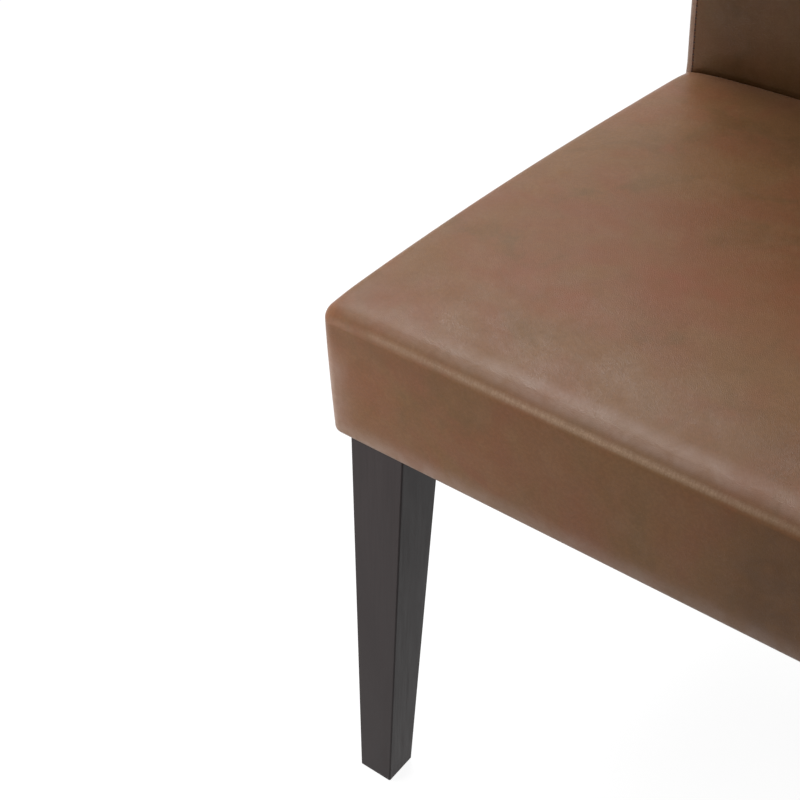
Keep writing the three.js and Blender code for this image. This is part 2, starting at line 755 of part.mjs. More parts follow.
function springs() {
  const group = new THREE.Group();
  for (let i = 0; i < SPRING_COUNT; i++) {
    const x = (i - (SPRING_COUNT - 1) / 2) * SPRING_SPACING;
    const wire = piece("seat_spring_" + (i + 1), spring(), springSteel);
    const front = piece("spring_clip_front_" + (i + 1), clipShape(1), zincSteel);
    const rear = piece("spring_clip_rear_" + (i + 1), clipShape(-1), zincSteel);
    front.position.y = SPRING_FRONT;
    rear.position.y = SPRING_REAR;
    const run = new THREE.Group();
    run.add(wire, front, rear);
    run.position.x = x;
    group.add(run);
  }
  return group;
}

// Plan outline of the padded seat, drawn in by an inset, from the left corner round the back to the front.
const SIDE_STEPS = 8;
const FRONT_STEPS = 8;
const REAR_STEPS = 5;
const CORNER_STEPS = 4;

function leftSideOutline(inset, rearInset) {
  const turn = Math.PI / 2 + SIDE_ANGLE;
  const radius = Math.max(SEAT_CORNER_RADIUS - inset, LEAST_CORNER_RADIUS);
  const reach = inset + radius;
  const centre = vec(-SEAT_HALF + reach * Math.tan(turn / 2), reach, 0);
  const points = [];
  for (let i = 0; i <= CORNER_STEPS; i++) {
    const a = (turn * i) / CORNER_STEPS;
    points.push(centre.clone().addScaledVector(vec(-Math.sin(a), -Math.cos(a), 0), radius));
  }
  const start = points[points.length - 1];
  const outward = vec(-Math.sin(turn), -Math.cos(turn), 0);
  const rear = SEAT_DEPTH - GAP - rearInset;
  const end = vec(-(sideHalf(rear) - inset / Math.cos(SIDE_ANGLE)), rear, 0);
  for (let i = 1; i <= SIDE_STEPS; i++) {
    const t = i / SIDE_STEPS;
    const bow = SEAT_SIDE_BOW * Math.sin(Math.PI * t);
    points.push(start.clone().lerp(end, t).addScaledVector(outward, bow));
  }
  return points;
}

function seatOutline(inset, rearInset) {
  const left = leftSideOutline(inset, rearInset);
  const right = left.map((p) => vec(-p.x, p.y, 0)).reverse();
  const [start, end] = [left[0], left[left.length - 1]];
  const rear = [];
  for (let i = 1; i < REAR_STEPS; i++) {
    rear.push(vec(mix(end.x, -end.x, i / REAR_STEPS), end.y, 0));
  }
  const front = [];
  for (let i = 1; i < FRONT_STEPS; i++) {
    front.push(vec(mix(-start.x, start.x, i / FRONT_STEPS), start.y, 0));
  }
  return [...left, ...rear, ...right, ...front];
}

// The seat's padded form, drawn as rings a skin's depth inside the leather face.
const CROWN_FRONT_SHARE = 0.62;

function crownAt(x, y) {
  const along = clamp01(y / SEAT_DEPTH);
  const across = clamp01(Math.abs(x) / sideHalf(y));
  const swell = Math.sin(Math.PI * along ** CROWN_FRONT_SHARE) * mix(1, EDGE_CROWN_SHARE, across ** 2);
  const past = clamp01((along - REAR_CROWN_SHARE) / (1 - REAR_CROWN_SHARE));
  const rise = past * past * (3 - 2 * past) * (1 - across ** 4);
  return SEAT_CROWN * swell + REAR_CROWN * rise;
}

function seatRing(inset, rearInset, z, skin) {
  return seatOutline(inset + skin, rearInset + skin).map((p) => {
    const up = clamp01((z - SEAT_BOTTOM) / SEAT_BOX_HEIGHT);
    const near = clamp01(1 - p.y / LEG_REAR);
    p.y -= SEAT_FRONT_BULGE * up * near * Math.cos((Math.PI / 2) * clamp01(Math.abs(p.x) / SEAT_HALF));
    const edge = clamp01((z + skin - SEAT_HEIGHT + SEAT_TOP_RADIUS) / SEAT_TOP_RADIUS);
    return vec(p.x, p.y, z + crownAt(p.x, p.y) * edge);
  });
}

const WALL_LOW = SEAT_BOTTOM + SEAT_BOTTOM_RADIUS;
const WALL_TOP = SEAT_HEIGHT - SEAT_TOP_RADIUS;
const TUCK_POWER = 1.3;
const wallInset = (z) => SEAT_TUCK * (1 - clamp01((z - WALL_LOW) / (WALL_TOP - WALL_LOW))) ** TUCK_POWER;

const WALL_SHARES = [0, 0.3, 0.65, 1];
const EDGE_ANGLE_SHARES = [0.33, 0.67, 1];
const TOP_SHARES = [0.06, 0.22, 0.45, 0.7];

// Rings up the sides, over the rounded edge and inwards over the crown.
function seatRings(skin, bottom, shares) {
  const radius = SEAT_TOP_RADIUS - skin;
  const rings = [];
  for (const share of shares) {
    const z = mix(bottom, WALL_TOP, share);
    rings.push(seatRing(wallInset(z), 0, z, skin));
  }
  for (const share of EDGE_ANGLE_SHARES) {
    const a = (Math.PI / 2) * share;
    const inset = radius * (1 - Math.cos(a));
    rings.push(seatRing(inset, inset, WALL_TOP + radius * Math.sin(a), skin));
  }
  const rim = seatOutline(SEAT_TOP_RADIUS, SEAT_TOP_RADIUS);
  for (const share of TOP_SHARES) {
    rings.push(
      rim.map((p) => {
        const x = p.x * (1 - share);
        const y = mix(p.y, SEAT_DEPTH / 2, share);
        return vec(x, y, SEAT_HEIGHT - skin + crownAt(x, y));
      }),
    );
  }
  return rings;
}

function hemRing(inset, z, skin) {
  return seatRing(SEAT_TUCK + inset, inset, z, skin).map((p) => vec(p.x, p.y, z));
}

// The seat cover: a leather skin over the padding, rolled under the rails and hemmed against them.
function seatCover() {
  const outer = seatRings(0, WALL_LOW, WALL_SHARES);
  const inner = seatRings(LEATHER, WALL_LOW, WALL_SHARES).reverse();
  const round = SEAT_BOTTOM_RADIUS;
  const slope = round * (1 - Math.SQRT1_2);
  const hemTop = RAIL_BOTTOM - GAP;
  const hem = [
    hemRing(slope, SEAT_BOTTOM + slope, LEATHER),
    hemRing(round, SEAT_BOTTOM + LEATHER, LEATHER),
    hemRing(SEAT_ROLL, hemTop, LEATHER),
    hemRing(SEAT_HEM, hemTop, LEATHER),
    hemRing(SEAT_HEM + LEATHER, hemTop - LEATHER, 0),
    hemRing(SEAT_ROLL + LEATHER, hemTop - LEATHER, 0),
    hemRing(round + LEATHER, SEAT_BOTTOM, 0),
    hemRing(round, SEAT_BOTTOM, 0),
    hemRing(slope, SEAT_BOTTOM + slope, 0),
  ];
  const skin = loft([...inner, ...hem, ...outer]);
  const legWell = block(
    vec(-LEG_OUTER - GAP, LEG_FRONT - GAP, FOOT),
    vec(-LEG_INNER + GAP, LEG_REAR + GAP, WALL_LOW + OVERRUN),
  );
  const inside = SEAT_REAR_HALF - SEAT_TUCK - LEATHER - GAP;
  const rearWindow = block(
    vec(-inside, SEAT_DEPTH - SEAT_ROLL - LEATHER * 2, SEAT_BOTTOM - OVERRUN),
    vec(inside, SEAT_DEPTH + OVERRUN, SEAT_HEIGHT - SEAT_REAR_FLAP),
  );
  const rearHem = block(
    vec(-inside + SEAT_HEM, SEAT_DEPTH - SEAT_HEM * 2, SEAT_BOTTOM - OVERRUN),
    vec(inside - SEAT_HEM, SEAT_DEPTH + OVERRUN, WALL_LOW + OVERRUN),
  );
  const otherWell = insideOutTurned(legWell.clone().scale(-1, 1, 1));
  return piece("seat_cover", cut(skin, legWell, otherWell, rearWindow, rearHem), leather);
}

// The seat foam rests on the rails, with a shallow pocket below for the felt, the springs and their clips.
const FELT_BOTTOM = SPRING_BED + SPRING_RISE + SPRING_WIRE_RADIUS + GAP;
const SPRING_SPAN = (SPRING_COUNT - 1) * SPRING_SPACING + SPRING_LOOP_WIDTH;
const SPRING_FIELD = SPRING_SPAN / 2 + SPRING_WIRE_RADIUS + OVERRUN;
const FOAM_WALL_SHARES = [0, 1];

function seatFoam() {
  const body = loft(seatRings(LEATHER + GAP * 2, RAIL_TOP + GAP, FOAM_WALL_SHARES));
  const pocket = block(
    vec(-SPRING_FIELD - GAP, SPRING_FRONT - CLIP_LENGTH / 2 - OVERRUN, RAIL_TOP - OVERRUN),
    vec(SPRING_FIELD + GAP, SEAT_DEPTH + OVERRUN, FELT_BOTTOM + FELT_THICKNESS + GAP),
  );
  return piece("seat_foam", cut(body, pocket), foam);
}

function springFelt() {
  const front = SPRING_FRONT - CLIP_LENGTH / 2;
  const rear = SEAT_DEPTH - LEATHER - GAP * 2;
  const sheet = block(
    vec(-SPRING_FIELD, front, FELT_BOTTOM),
    vec(SPRING_FIELD, rear, FELT_BOTTOM + FELT_THICKNESS),
  );
  return piece("spring_felt", sheet, felt);
}

// Thin pads over the front and the sides of the frame, shaped by the cover outside them.
const PAD_STEPS = 8;
const PAD_LEVEL_SHARES = [0, 0.5, 1];
const PAD_SKIN = LEATHER + GAP;
const BOW_FILL_SHARE = 0.85;

function padLevels() {
  return PAD_LEVEL_SHARES.map((share) => mix(RAIL_BOTTOM + PAD_START, RAIL_TOP, share));
}

function frontPad() {
  const half = LEG_OUTER - SEAT_CORNER_RADIUS;
  const rings = padLevels().map((z) => {
    const up = clamp01((z - SEAT_BOTTOM) / SEAT_BOX_HEIGHT);
    const face = [];
    for (let i = 0; i <= PAD_STEPS; i++) {
      const x = mix(-half, half, i / PAD_STEPS);
      const bulge = SEAT_FRONT_BULGE * up * Math.cos((Math.PI / 2) * clamp01(Math.abs(x) / SEAT_HALF));
      face.push(vec(x, wallInset(z) + PAD_SKIN - bulge * (1 - SEAT_TUCK / LEG_REAR), z));
    }
    return [...face, vec(half, LEG_FRONT - GAP, z), vec(-half, LEG_FRONT - GAP, z)];
  });
  return piece("front_pad", loft(rings), wadding);
}

function sidePads() {
  const front = LEG_FRONT + SEAT_CORNER_RADIUS;
  const rear = SEAT_DEPTH - SEAT_REAR_FLAP;
  const rings = padLevels().map((z) => {
    const face = [];
    for (let i = 0; i <= PAD_STEPS; i++) {
      const y = mix(front, rear, i / PAD_STEPS);
      const along = clamp01((y - SEAT_CORNER_RADIUS) / (SEAT_DEPTH - SEAT_CORNER_RADIUS));
      const bow = SEAT_SIDE_BOW * Math.sin(Math.PI * along) * BOW_FILL_SHARE;
      face.push(vec(-(sideHalf(y) + bow - (wallInset(z) + PAD_SKIN) / Math.cos(SIDE_ANGLE)), y, z));
    }
    return [...face, vec(-railOuter(rear) - GAP, rear, z), vec(-railOuter(front) - GAP, front, z)];
  });
  return pair("side_pad", loft(rings), wadding);
}

// Webbing straps cross the back from post to post, in front of the rails.
function webbing() {
  const group = new THREE.Group();
  const bottom = LOWER_RAIL.middle + LOWER_RAIL.height / 2;
  const top = CREST_RAIL.middle - CREST_RAIL.height / 2;
  for (let i = 0; i < WEB_COUNT; i++) {
    const z = mix(bottom, top, (2 * i + 1) / (2 * WEB_COUNT));
    const half = postOuter(z - WEB_WIDTH / 2) - POST_EDGE;
    const ring = (height) => {
      const y = postFront(height) - GAP;
      return [
        vec(-half, y - WEB_THICKNESS, height),
        vec(half, y - WEB_THICKNESS, height),
        vec(half, y, height),
        vec(-half, y, height),
      ];
    };
    group.add(piece("back_strap_" + (i + 1), loft([ring(z - WEB_WIDTH / 2), ring(z + WEB_WIDTH / 2)]), jute));
  }
  return group;
}

// Front view of the back: half width of its outline at a height, drawn in by an inset.
function insetHalf(z, inset) {
  const rise = z - (BACK_TOP - BACK_CORNER_RADIUS);
  if (rise <= 0) return backHalf(z) - inset;
  const radius = BACK_CORNER_RADIUS - inset;
  return backHalf(BACK_TOP) - BACK_CORNER_RADIUS + Math.sqrt(Math.max(radius * radius - rise * rise, 0));
}

// How far the face falls back near a rounded edge, at a distance from the outline.
function edgeRoll(distance, radius) {
  if (distance >= radius) return 0;
  const lever = radius - distance;
  return radius - Math.sqrt(Math.max(radius * radius - lever * lever, 0));
}

const TOP_LIFT_POWER = 3;
const FLAT_CORNER_POWER = 4;

// Distance of a point of the face from the outline of the back.
const ARC_BASE = BACK_TOP - BACK_CORNER_RADIUS;
const ARC_CENTRE = backHalf(BACK_TOP) - BACK_CORNER_RADIUS;

function edgeDistance(x, level) {
  const dx = Math.abs(x) - ARC_CENTRE;
  const dz = level - ARC_BASE;
  if (dx > 0 && dz > 0) return BACK_CORNER_RADIUS - Math.hypot(dx, dz);
  return Math.min(backHalf(level) - Math.abs(x), BACK_TOP - level);
}

// A point of the front or rear face at a share u of the half width and a level.
function facePoint(u, level, share, inset, front) {
  const half = insetHalf(level, inset);
  const z = level + BACK_TOP_CROWN * (1 - u * u) * share ** TOP_LIFT_POWER;
  const distance = edgeDistance(u * half, level);
  if (!front) return vec(u * half, backRear(z) - edgeRoll(distance, BACK_REAR_EDGE_RADIUS), z);
  const above = clamp01((z - SEAT_HEIGHT - SEAT_CROWN) / (BACK_TOP - SEAT_HEIGHT - SEAT_CROWN));
  const pillow = (1 - Math.abs(u) ** FLAT_CORNER_POWER) * Math.sin(Math.PI * above ** CROWN_FRONT_SHARE);
  const roll = edgeRoll(distance, BACK_FRONT_EDGE_RADIUS);
  return vec(u * half, backFront(z) + roll - BACK_FRONT_CROWN * pillow, z);
}

const PANEL_COLUMN_SHARES = [-1, -0.975, -0.93, -0.8, -0.5, -0.2, 0.2, 0.5, 0.8, 0.93, 0.975, 1];
const SIDE_RISE_SHARES = [0.08, 0.2, 0.36, 0.52, 0.68, 0.84, 1];
const ARC_STEPS = 4;
const TOP_STEPS = 8;

// Levels of the rows of a panel: given ones, then up the side and round the corner.
function panelLevels(low, inset) {
  const levels = [...low, ...SIDE_RISE_SHARES.map((share) => mix(SEAT_HEIGHT, ARC_BASE, share))];
  for (let i = 1; i <= ARC_STEPS; i++) {
    const a = ((Math.PI / 2) * i) / ARC_STEPS;
    levels.push(ARC_BASE + (BACK_CORNER_RADIUS - inset) * Math.sin(a));
  }
  return levels;
}

// A leather sheet between a face and the same face a skin deeper.
function sheet(low, inset, front) {
  const deep = vec(0, front ? LEATHER : -LEATHER, 0);
  const levels = panelLevels(low, inset);
  const [bottom, top] = [levels[0], levels[levels.length - 1]];
  const rings = levels.map((level) => {
    const share = (level - bottom) / (top - bottom);
    const face = PANEL_COLUMN_SHARES.map((u) => facePoint(u, level, share, inset, front));
    return [...face, ...face.map((p) => p.clone().add(deep)).reverse()];
  });
  return loft(rings);
}

const FRONT_PANEL_BOTTOM = SEAT_HEIGHT - BACK_TUCK_DEPTH;

function frontPanel() {
  const face = sheet([FRONT_PANEL_BOTTOM, SEAT_HEIGHT], FRONT_SEAM_INSET + SEAM_GAP, true);
  return piece("back_front_panel", face, leather);
}

// The rear panel turns under the rear rail between the legs, as a flap.
function rearPanel() {
  const low = [SEAT_BOTTOM, SEAT_HEIGHT - SEAT_TOP_RADIUS, SEAT_HEIGHT];
  const face = sheet(low, REAR_SEAM_INSET + SEAM_GAP, false);
  const rear = backRear(SEAT_BOTTOM);
  const rise = RAIL_BOTTOM - GAP - LEATHER;
  const profile = [
    [rear, SEAT_BOTTOM],
    [rear, SEAT_BOTTOM + LEATHER],
    [POST_REAR - REAR_FLAP / 2, rise + LEATHER],
    [POST_REAR - REAR_FLAP, rise + LEATHER],
    [POST_REAR - REAR_FLAP, rise],
    [POST_REAR - REAR_FLAP / 2, rise],
  ];
  const half = POST_INNER - OVERRUN;
  const shape = new THREE.Shape(profile.map(([y, z]) => new THREE.Vector2(y, z)));
  const flap = new THREE.ExtrudeGeometry(shape, { depth: half * 2, bevelEnabled: false });
  const turn = new THREE.Matrix4().makeBasis(vec(0, 1, 0), vec(0, 0, 1), vec(1, 0, 0));
  flap.applyMatrix4(turn).translate(-half, 0, 0);
  return piece("back_rear_panel", joined(face, flap), leather);
}

// The outline of the back, from the lower left up, over the top and down the right, with outward normals.
function backOutline() {
  const heights = [SEAT_BOTTOM, SEAT_HEIGHT - SEAT_TOP_RADIUS, SEAT_HEIGHT];
  heights.push(...SIDE_RISE_SHARES.map((share) => mix(SEAT_HEIGHT, ARC_BASE, share)));
  const left = heights.map((z) => ({ x: -insetHalf(z, 0), z, nx: -1, nz: 0 }));
  for (let i = 1; i <= ARC_STEPS; i++) {
    const a = ((Math.PI / 2) * i) / ARC_STEPS;
    const nx = -Math.cos(a);
    const nz = Math.sin(a);
    left.push({ x: -ARC_CENTRE + BACK_CORNER_RADIUS * nx, z: ARC_BASE + BACK_CORNER_RADIUS * nz, nx, nz });
  }
  const top = [];
  for (let i = 1; i < TOP_STEPS; i++) {
    const u = mix(-1, 1, i / TOP_STEPS);
    top.push({ x: u * ARC_CENTRE, z: BACK_TOP + BACK_TOP_CROWN * (1 - u * u), nx: 0, nz: 1 });
  }
  const right = left.map((p) => ({ ...p, x: -p.x, nx: -p.nx })).reverse();
  return [...left, ...top, ...right];
}

// The section of the boxing, from the front seam over the side face to the rear seam.
const SECTION_SHARES = [1, 0.66, 0.33, 0];

function boxingSection(skin, at) {
  const frontTurn = Math.acos(1 - FRONT_SEAM_INSET / BACK_FRONT_EDGE_RADIUS);
  const rearTurn = Math.acos(1 - REAR_SEAM_INSET / BACK_REAR_EDGE_RADIUS);
  const frontRadius = BACK_FRONT_EDGE_RADIUS - skin;
  const rearRadius = BACK_REAR_EDGE_RADIUS - skin;
  const front = SECTION_SHARES.map((share) => ({
    inset: BACK_FRONT_EDGE_RADIUS - frontRadius * Math.cos(frontTurn * share),
    y: backFront(at) + BACK_FRONT_EDGE_RADIUS - frontRadius * Math.sin(frontTurn * share),
  }));
  const rear = SECTION_SHARES.map((share) => ({
    inset: BACK_REAR_EDGE_RADIUS - rearRadius * Math.cos(rearTurn * share),
    y: backRear(at) - BACK_REAR_EDGE_RADIUS + rearRadius * Math.sin(rearTurn * share),
  }));
  const middle = { inset: skin - BOXING_BULGE, y: (backFront(at) + backRear(at)) / 2 };
  return [...front, middle, ...rear.reverse()];
}

function boxing() {
  const rings = backOutline().map((p) => {
    const place = ({ inset, y }) => vec(p.x - p.nx * inset, y, p.z - p.nz * inset);
    const outer = boxingSection(0, p.z).map(place);
    const inner = boxingSection(LEATHER, p.z).map(place);
    return [...outer, ...inner.reverse()];
  });
  return piece("back_boxing", loft(rings), leather);
}

// The back foam lies over the webbing and wraps the posts and the crest rail.
const FOAM_LEVEL_SHARES = [0, 0.05, 0.15, 0.3, 0.45, 0.6, 0.75, 0.88, 0.95, 1];
const FOAM_EDGE_SHARES = [-1, -0.93, -0.5, 0, 0.5, 0.93, 1];
const FOAM_INSET = LEATHER + GAP * 4;

function backFoamPad() {
  const bottom = FRONT_PANEL_BOTTOM + OVERRUN;
  const top = BACK_TOP - FOAM_INSET;
  const rings = FOAM_LEVEL_SHARES.map((share) => {
    const z = mix(bottom, top, share);
    const half = insetHalf(z, FOAM_INSET) - GAP;
    const front = FOAM_EDGE_SHARES.map((u) => {
      const roll = edgeRoll(Math.min(half * (1 - Math.abs(u)), top - z) + LEATHER, BACK_FRONT_EDGE_RADIUS);
      return vec(u * half, backFront(z) + roll + FOAM_INSET, z);
    });
    const rear = postFront(z) + postDepth(z);
    return [...front, vec(half, rear, z), vec(-half, rear, z)];
  });
  const heights = [bottom - OVERRUN];
  for (let i = 1; i <= POST_STATIONS; i++) heights.push(mix(SEAT_HEIGHT, POST_TOP + GAP, i / POST_STATIONS));
  const core = loft(heights.map((z) => {
    const half = postOuter(z) + GAP;
    const front = postFront(z) - WEB_THICKNESS - GAP * 2;
    return [
      vec(-half, front, z),
      vec(half, front, z),
      vec(half, postFront(z) + POST_DEPTH + OVERRUN, z),
      vec(-half, postFront(z) + POST_DEPTH + OVERRUN, z),
    ];
  }));
  return piece("back_foam", cut(loft(rings), core), foam);
}

// A fibreboard sheet bent over the rear of the posts keeps the rear panel flat.
function backBoard() {
  const heights = [RAIL_BOTTOM, SEAT_HEIGHT];
  for (let i = 1; i <= POST_STATIONS; i++) heights.push(mix(SEAT_HEIGHT, POST_TOP, i / POST_STATIONS));
  const rings = heights.map((z) => {
    const half = postOuter(z) - POST_EDGE;
    const front = postFront(z) + postDepth(z) + GAP;
    return [
      vec(-half, front, z),
      vec(half, front, z),
      vec(half, front + BOARD_THICKNESS, z),
      vec(-half, front + BOARD_THICKNESS, z),
    ];
  });
  return piece("back_board", loft(rings), fibreboard);
}

// Black cambric closes the underside, cut out round the four legs.
function dustCover() {
  const top = RAIL_BOTTOM - GAP - LEATHER - GAP;
  const edge = SEAT_TUCK + SEAT_ROLL + LEATHER + DUST_COVER_INSET;
  const side = (y) => sideHalf(y) - edge;
  const frontNotch = LEG_INNER - OVERRUN;
  const rearNotch = POST_INNER - OVERRUN;
  const half = [
    [frontNotch, edge],
    [frontNotch, LEG_REAR + OVERRUN],
    [side(LEG_REAR + OVERRUN), LEG_REAR + OVERRUN],
    [side(POST_FRONT - OVERRUN), POST_FRONT - OVERRUN],
    [rearNotch, POST_FRONT - OVERRUN],
    [rearNotch, POST_REAR - edge],
  ];
  const other = half.map(([x, y]) => [-x, y]).reverse();
  return piece("dust_cover", prism([...half, ...other], top - DUST_COVER_THICKNESS, top), cambric);
}

const chair = new THREE.Group();
chair.add(frontLegs(), rearLegs(), frontRail(), sideRails(), rearRail());
chair.add(cornerBlocks(), railScrews(), glides());
chair.add(springs(), springFelt(), seatFoam(), frontPad(), sidePads(), seatCover());
chair.add(backRail("crest_rail", CREST_RAIL), backRail("mid_rail", MID_RAIL));
chair.add(backRail("lower_back_rail", LOWER_RAIL));
chair.add(webbing(), backFoamPad(), backBoard(), frontPanel(), boxing(), rearPanel(), dustCover());

// The origin goes to the middle of the plan box, at the floor.
const box = new THREE.Box3().setFromObject(chair, true);
chair.position.set(-(box.min.x + box.max.x) / 2, -(box.min.y + box.max.y) / 2, -box.min.z);

export default chair;
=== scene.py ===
"""Parsons chair: leather upholstery, stitching, stained legs and the studio round it."""
import math

import bmesh
import bpy
import numpy as np
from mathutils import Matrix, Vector
from mathutils.geometry import delaunay_2d_cdt
from mathutils.kdtree import KDTree


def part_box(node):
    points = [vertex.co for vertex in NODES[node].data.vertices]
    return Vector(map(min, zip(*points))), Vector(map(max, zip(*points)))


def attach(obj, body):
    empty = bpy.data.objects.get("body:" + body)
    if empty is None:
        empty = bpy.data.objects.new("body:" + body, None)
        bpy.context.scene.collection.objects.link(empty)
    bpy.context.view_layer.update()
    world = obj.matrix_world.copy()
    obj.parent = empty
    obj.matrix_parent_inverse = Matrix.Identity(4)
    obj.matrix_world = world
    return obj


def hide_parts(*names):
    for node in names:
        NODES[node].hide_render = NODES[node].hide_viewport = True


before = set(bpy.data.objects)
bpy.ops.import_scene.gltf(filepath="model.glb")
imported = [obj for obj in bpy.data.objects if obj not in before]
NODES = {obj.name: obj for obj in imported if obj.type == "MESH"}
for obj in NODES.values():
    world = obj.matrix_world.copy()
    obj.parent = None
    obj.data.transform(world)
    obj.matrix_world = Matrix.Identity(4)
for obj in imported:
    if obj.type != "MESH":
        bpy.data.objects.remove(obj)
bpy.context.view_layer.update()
MM = 0.001

# Sizes of the upholstery in millimetres, as in the frame; Y is zero on the front face of the seat.
SEAT_HEIGHT = 482.0
SEAT_HALF = 235.0
SEAT_RUN_IN = 31.0
SEAT_DEPTH = 455.0
SEAT_BOX_HEIGHT = 110.4
CHAIR_HEIGHT = 985.0
BACK_STEP_OUT = 3.0
BACK_FLARE = 23.0
BACK_RECLINE = 57.0
RECLINE_START = 0.45
GAP = 0.3
LEATHER = 1.1
SEAT_CORNER_RADIUS = 13.0
LEAST_CORNER_RADIUS = 1.5
SEAT_TOP_RADIUS = 11.5
SEAT_BOTTOM_RADIUS = 5.0
SEAT_TUCK = 4.4
TUCK_POWER = 1.3
SEAT_SIDE_BOW = 4.4
SEAT_FRONT_BULGE = 1.6
SEAT_CROWN = 8.0
REAR_CROWN = 5.5
EDGE_CROWN_SHARE = 0.4
REAR_CROWN_SHARE = 0.35
CROWN_FRONT_POWER = 0.62
SEAT_ROLL = 10.0
SEAT_HEM = 22.0
SEAT_REAR_FLAP = 24.0
BACK_FOAM = 22.0
BACK_TOP_FOAM = 12.0
POST_DEPTH = 30.0
POST_TOP_DEPTH = 25.0
POST_FRONT_STACK = 4.0
POST_REAR_STACK = 4.7
BACK_CORNER_RADIUS = 26.0
BACK_FRONT_EDGE_RADIUS = 7.5
BACK_REAR_EDGE_RADIUS = 6.0
BACK_FRONT_CROWN = 5.0
BACK_TOP_CROWN = 6.0
FRONT_SEAM_INSET = 7.0
REAR_SEAM_INSET = 3.5
BACK_TUCK_DEPTH = 22.0
LEG_FRONT = 6.8
LEG_TOP = 46.0
LEG_OUTER = 213.3
CORNER_DROP = 2.6
CORNER_DROP_REACH = 20.0
REAR_CORNER_DROP = 2.2
REAR_CORNER_REACH = 16.0
HEM_TURN = 2.5
SEAM_DIP = 0.45
SEAM_REACH = 2.2
STRIP_SWELL = 0.8
STRIP_TUCK = 0.9
STRIP_TUCK_DEPTH = 1.9
STRIP_UNDER_REAR = 7.0
CUT_PAST = 2.0

SEAT_BOTTOM = SEAT_HEIGHT - SEAT_BOX_HEIGHT
RAIL_BOTTOM = SEAT_BOTTOM + SEAT_BOTTOM_RADIUS
WALL_TOP = SEAT_HEIGHT - SEAT_TOP_RADIUS
SIDE_ANGLE = math.atan2(SEAT_RUN_IN, SEAT_DEPTH)
SEAT_REAR_HALF = SEAT_HALF - SEAT_RUN_IN
BACK_TOP = CHAIR_HEIGHT - BACK_TOP_CROWN
ARC_BASE = BACK_TOP - BACK_CORNER_RADIUS
LEG_INNER = LEG_OUTER - LEG_TOP
LEG_REAR = LEG_FRONT + LEG_TOP
ON_TOP = SEAT_HEIGHT - 1.0
ORIGIN_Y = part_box("front_leg_left")[0].y / MM - LEG_FRONT


# Shares

def hump(value, middle, width):
    """One at a middle value, falling away over a width on both sides."""
    return np.exp(-((value - middle) / width) ** 2)


def rise(value, low, high):
    """Zero below a low value, one above a high one, and smooth between."""
    t = np.clip((value - low) / (high - low), 0, 1)
    return t * t * (3 - 2 * t)


# Meshes

def placed(points):
    """Points of the frame in millimetres, as metres in the row frame."""
    moved = np.array(points, float).reshape(-1, 3)
    moved[:, 1] += ORIGIN_Y
    return moved * MM


def add_object(name, points, faces):
    mesh = bpy.data.meshes.new(name)
    mesh.from_pydata(placed(points).tolist(), [], faces)
    mesh.validate()
    shape = bpy.data.objects.new(name, mesh)
    bpy.context.scene.collection.objects.link(shape)
    return shape


def tube_faces(rows, columns, closed=True):
    """Quads through rows of equally many points, closed round each row or open."""
    faces = []
    for r in range(rows - 1):
        for c in range(columns if closed else columns - 1):
            near = r * columns + c
            side = r * columns + (c + 1) % columns
            faces.append((near, side, side + columns, near + columns))
    return faces


def apply_modifiers(shape):
    graph = bpy.context.evaluated_depsgraph_get()
    mesh = bpy.data.meshes.new_from_object(shape.evaluated_get(graph))
    shape.modifiers.clear()
    old = shape.data
    shape.data = mesh
    mesh.name = shape.name
    bpy.data.meshes.remove(old)


def smooth_by_angle(shape, degrees=38.0):
    """Smooth faces, with sharp edges kept where they turn by more than an angle."""
    work = bmesh.new()
    work.from_mesh(shape.data)
    limit = math.radians(degrees)
    for face in work.faces:
        face.smooth = True
    for edge in work.edges:
        edge.smooth = not (len(edge.link_faces) == 2 and edge.calc_face_angle(0.0) > limit)
    work.to_mesh(shape.data)
    work.free()


def face_outwards(shape):
    work = bmesh.new()
    work.from_mesh(shape.data)
    bmesh.ops.recalc_face_normals(work, faces=work.faces)
    work.to_mesh(shape.data)
    work.free()


def face_to(shape, direction, chosen=lambda face: True):
    """Turns the faces of an open sheet so that the chosen ones point along a direction."""
    facing = sum((face.normal * face.area for face in shape.data.polygons if chosen(face)), Vector())
    if facing.dot(direction) < 0:
        shape.data.flip_normals()


def thicken(shape, thickness):
    """Gives a sheet its thickness, inwards from its face."""
    solid = shape.modifiers.new("thickness", "SOLIDIFY")
    solid.thickness = thickness * MM
    solid.offset = -1.0
    apply_modifiers(shape)


def add_body(name, points, faces, degrees=38.0):
    """A closed body, facing outwards and smoothed."""
    body = add_object(name, points, faces)
    face_outwards(body)
    smooth_by_angle(body, degrees)
    return body


def add_tube(points, faces, rings):
    """Adds a tube through equal rings to a mesh in the making, closed at both ends."""
    base, sides = len(points), len(rings[0])
    last = (len(rings) - 1) * sides
    for ring in rings:
        points.extend(ring)
    ends = [tuple(reversed(range(sides))), tuple(range(last, last + sides))]
    faces += [tuple(base + i for i in face) for face in tube_faces(len(rings), sides) + ends]


def ring_round(centre, radius, side, other, count):
    """Points of a circle in the plane of two directions."""
    turns = np.linspace(0, 2 * math.pi, count, endpoint=False)
    return [centre + radius * (math.cos(a) * side + math.sin(a) * other) for a in turns]


def tree_of(points):
    """A search tree of points in space, or in a plane where they have two values each."""
    tree = KDTree(len(points))
    for index, point in enumerate(points):
        tree.insert((*point, 0.0)[:3], index)
    tree.balance()
    return tree


def box_of(node):
    """The two corners of a node's box in millimetres."""
    return [Vector(corner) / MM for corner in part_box(node)]


def cut_block(low, high):
    """A block between two corners, to cut a piece with."""
    ranges = list(zip(low, high))
    corners = [(x, y, z) for z in ranges[2] for y in ranges[1] for x in ranges[0]]
    faces = [(0, 2, 3, 1), (4, 5, 7, 6), (0, 1, 5, 4), (2, 6, 7, 3), (0, 4, 6, 2), (1, 3, 7, 5)]
    return add_object("cutter", corners, faces)


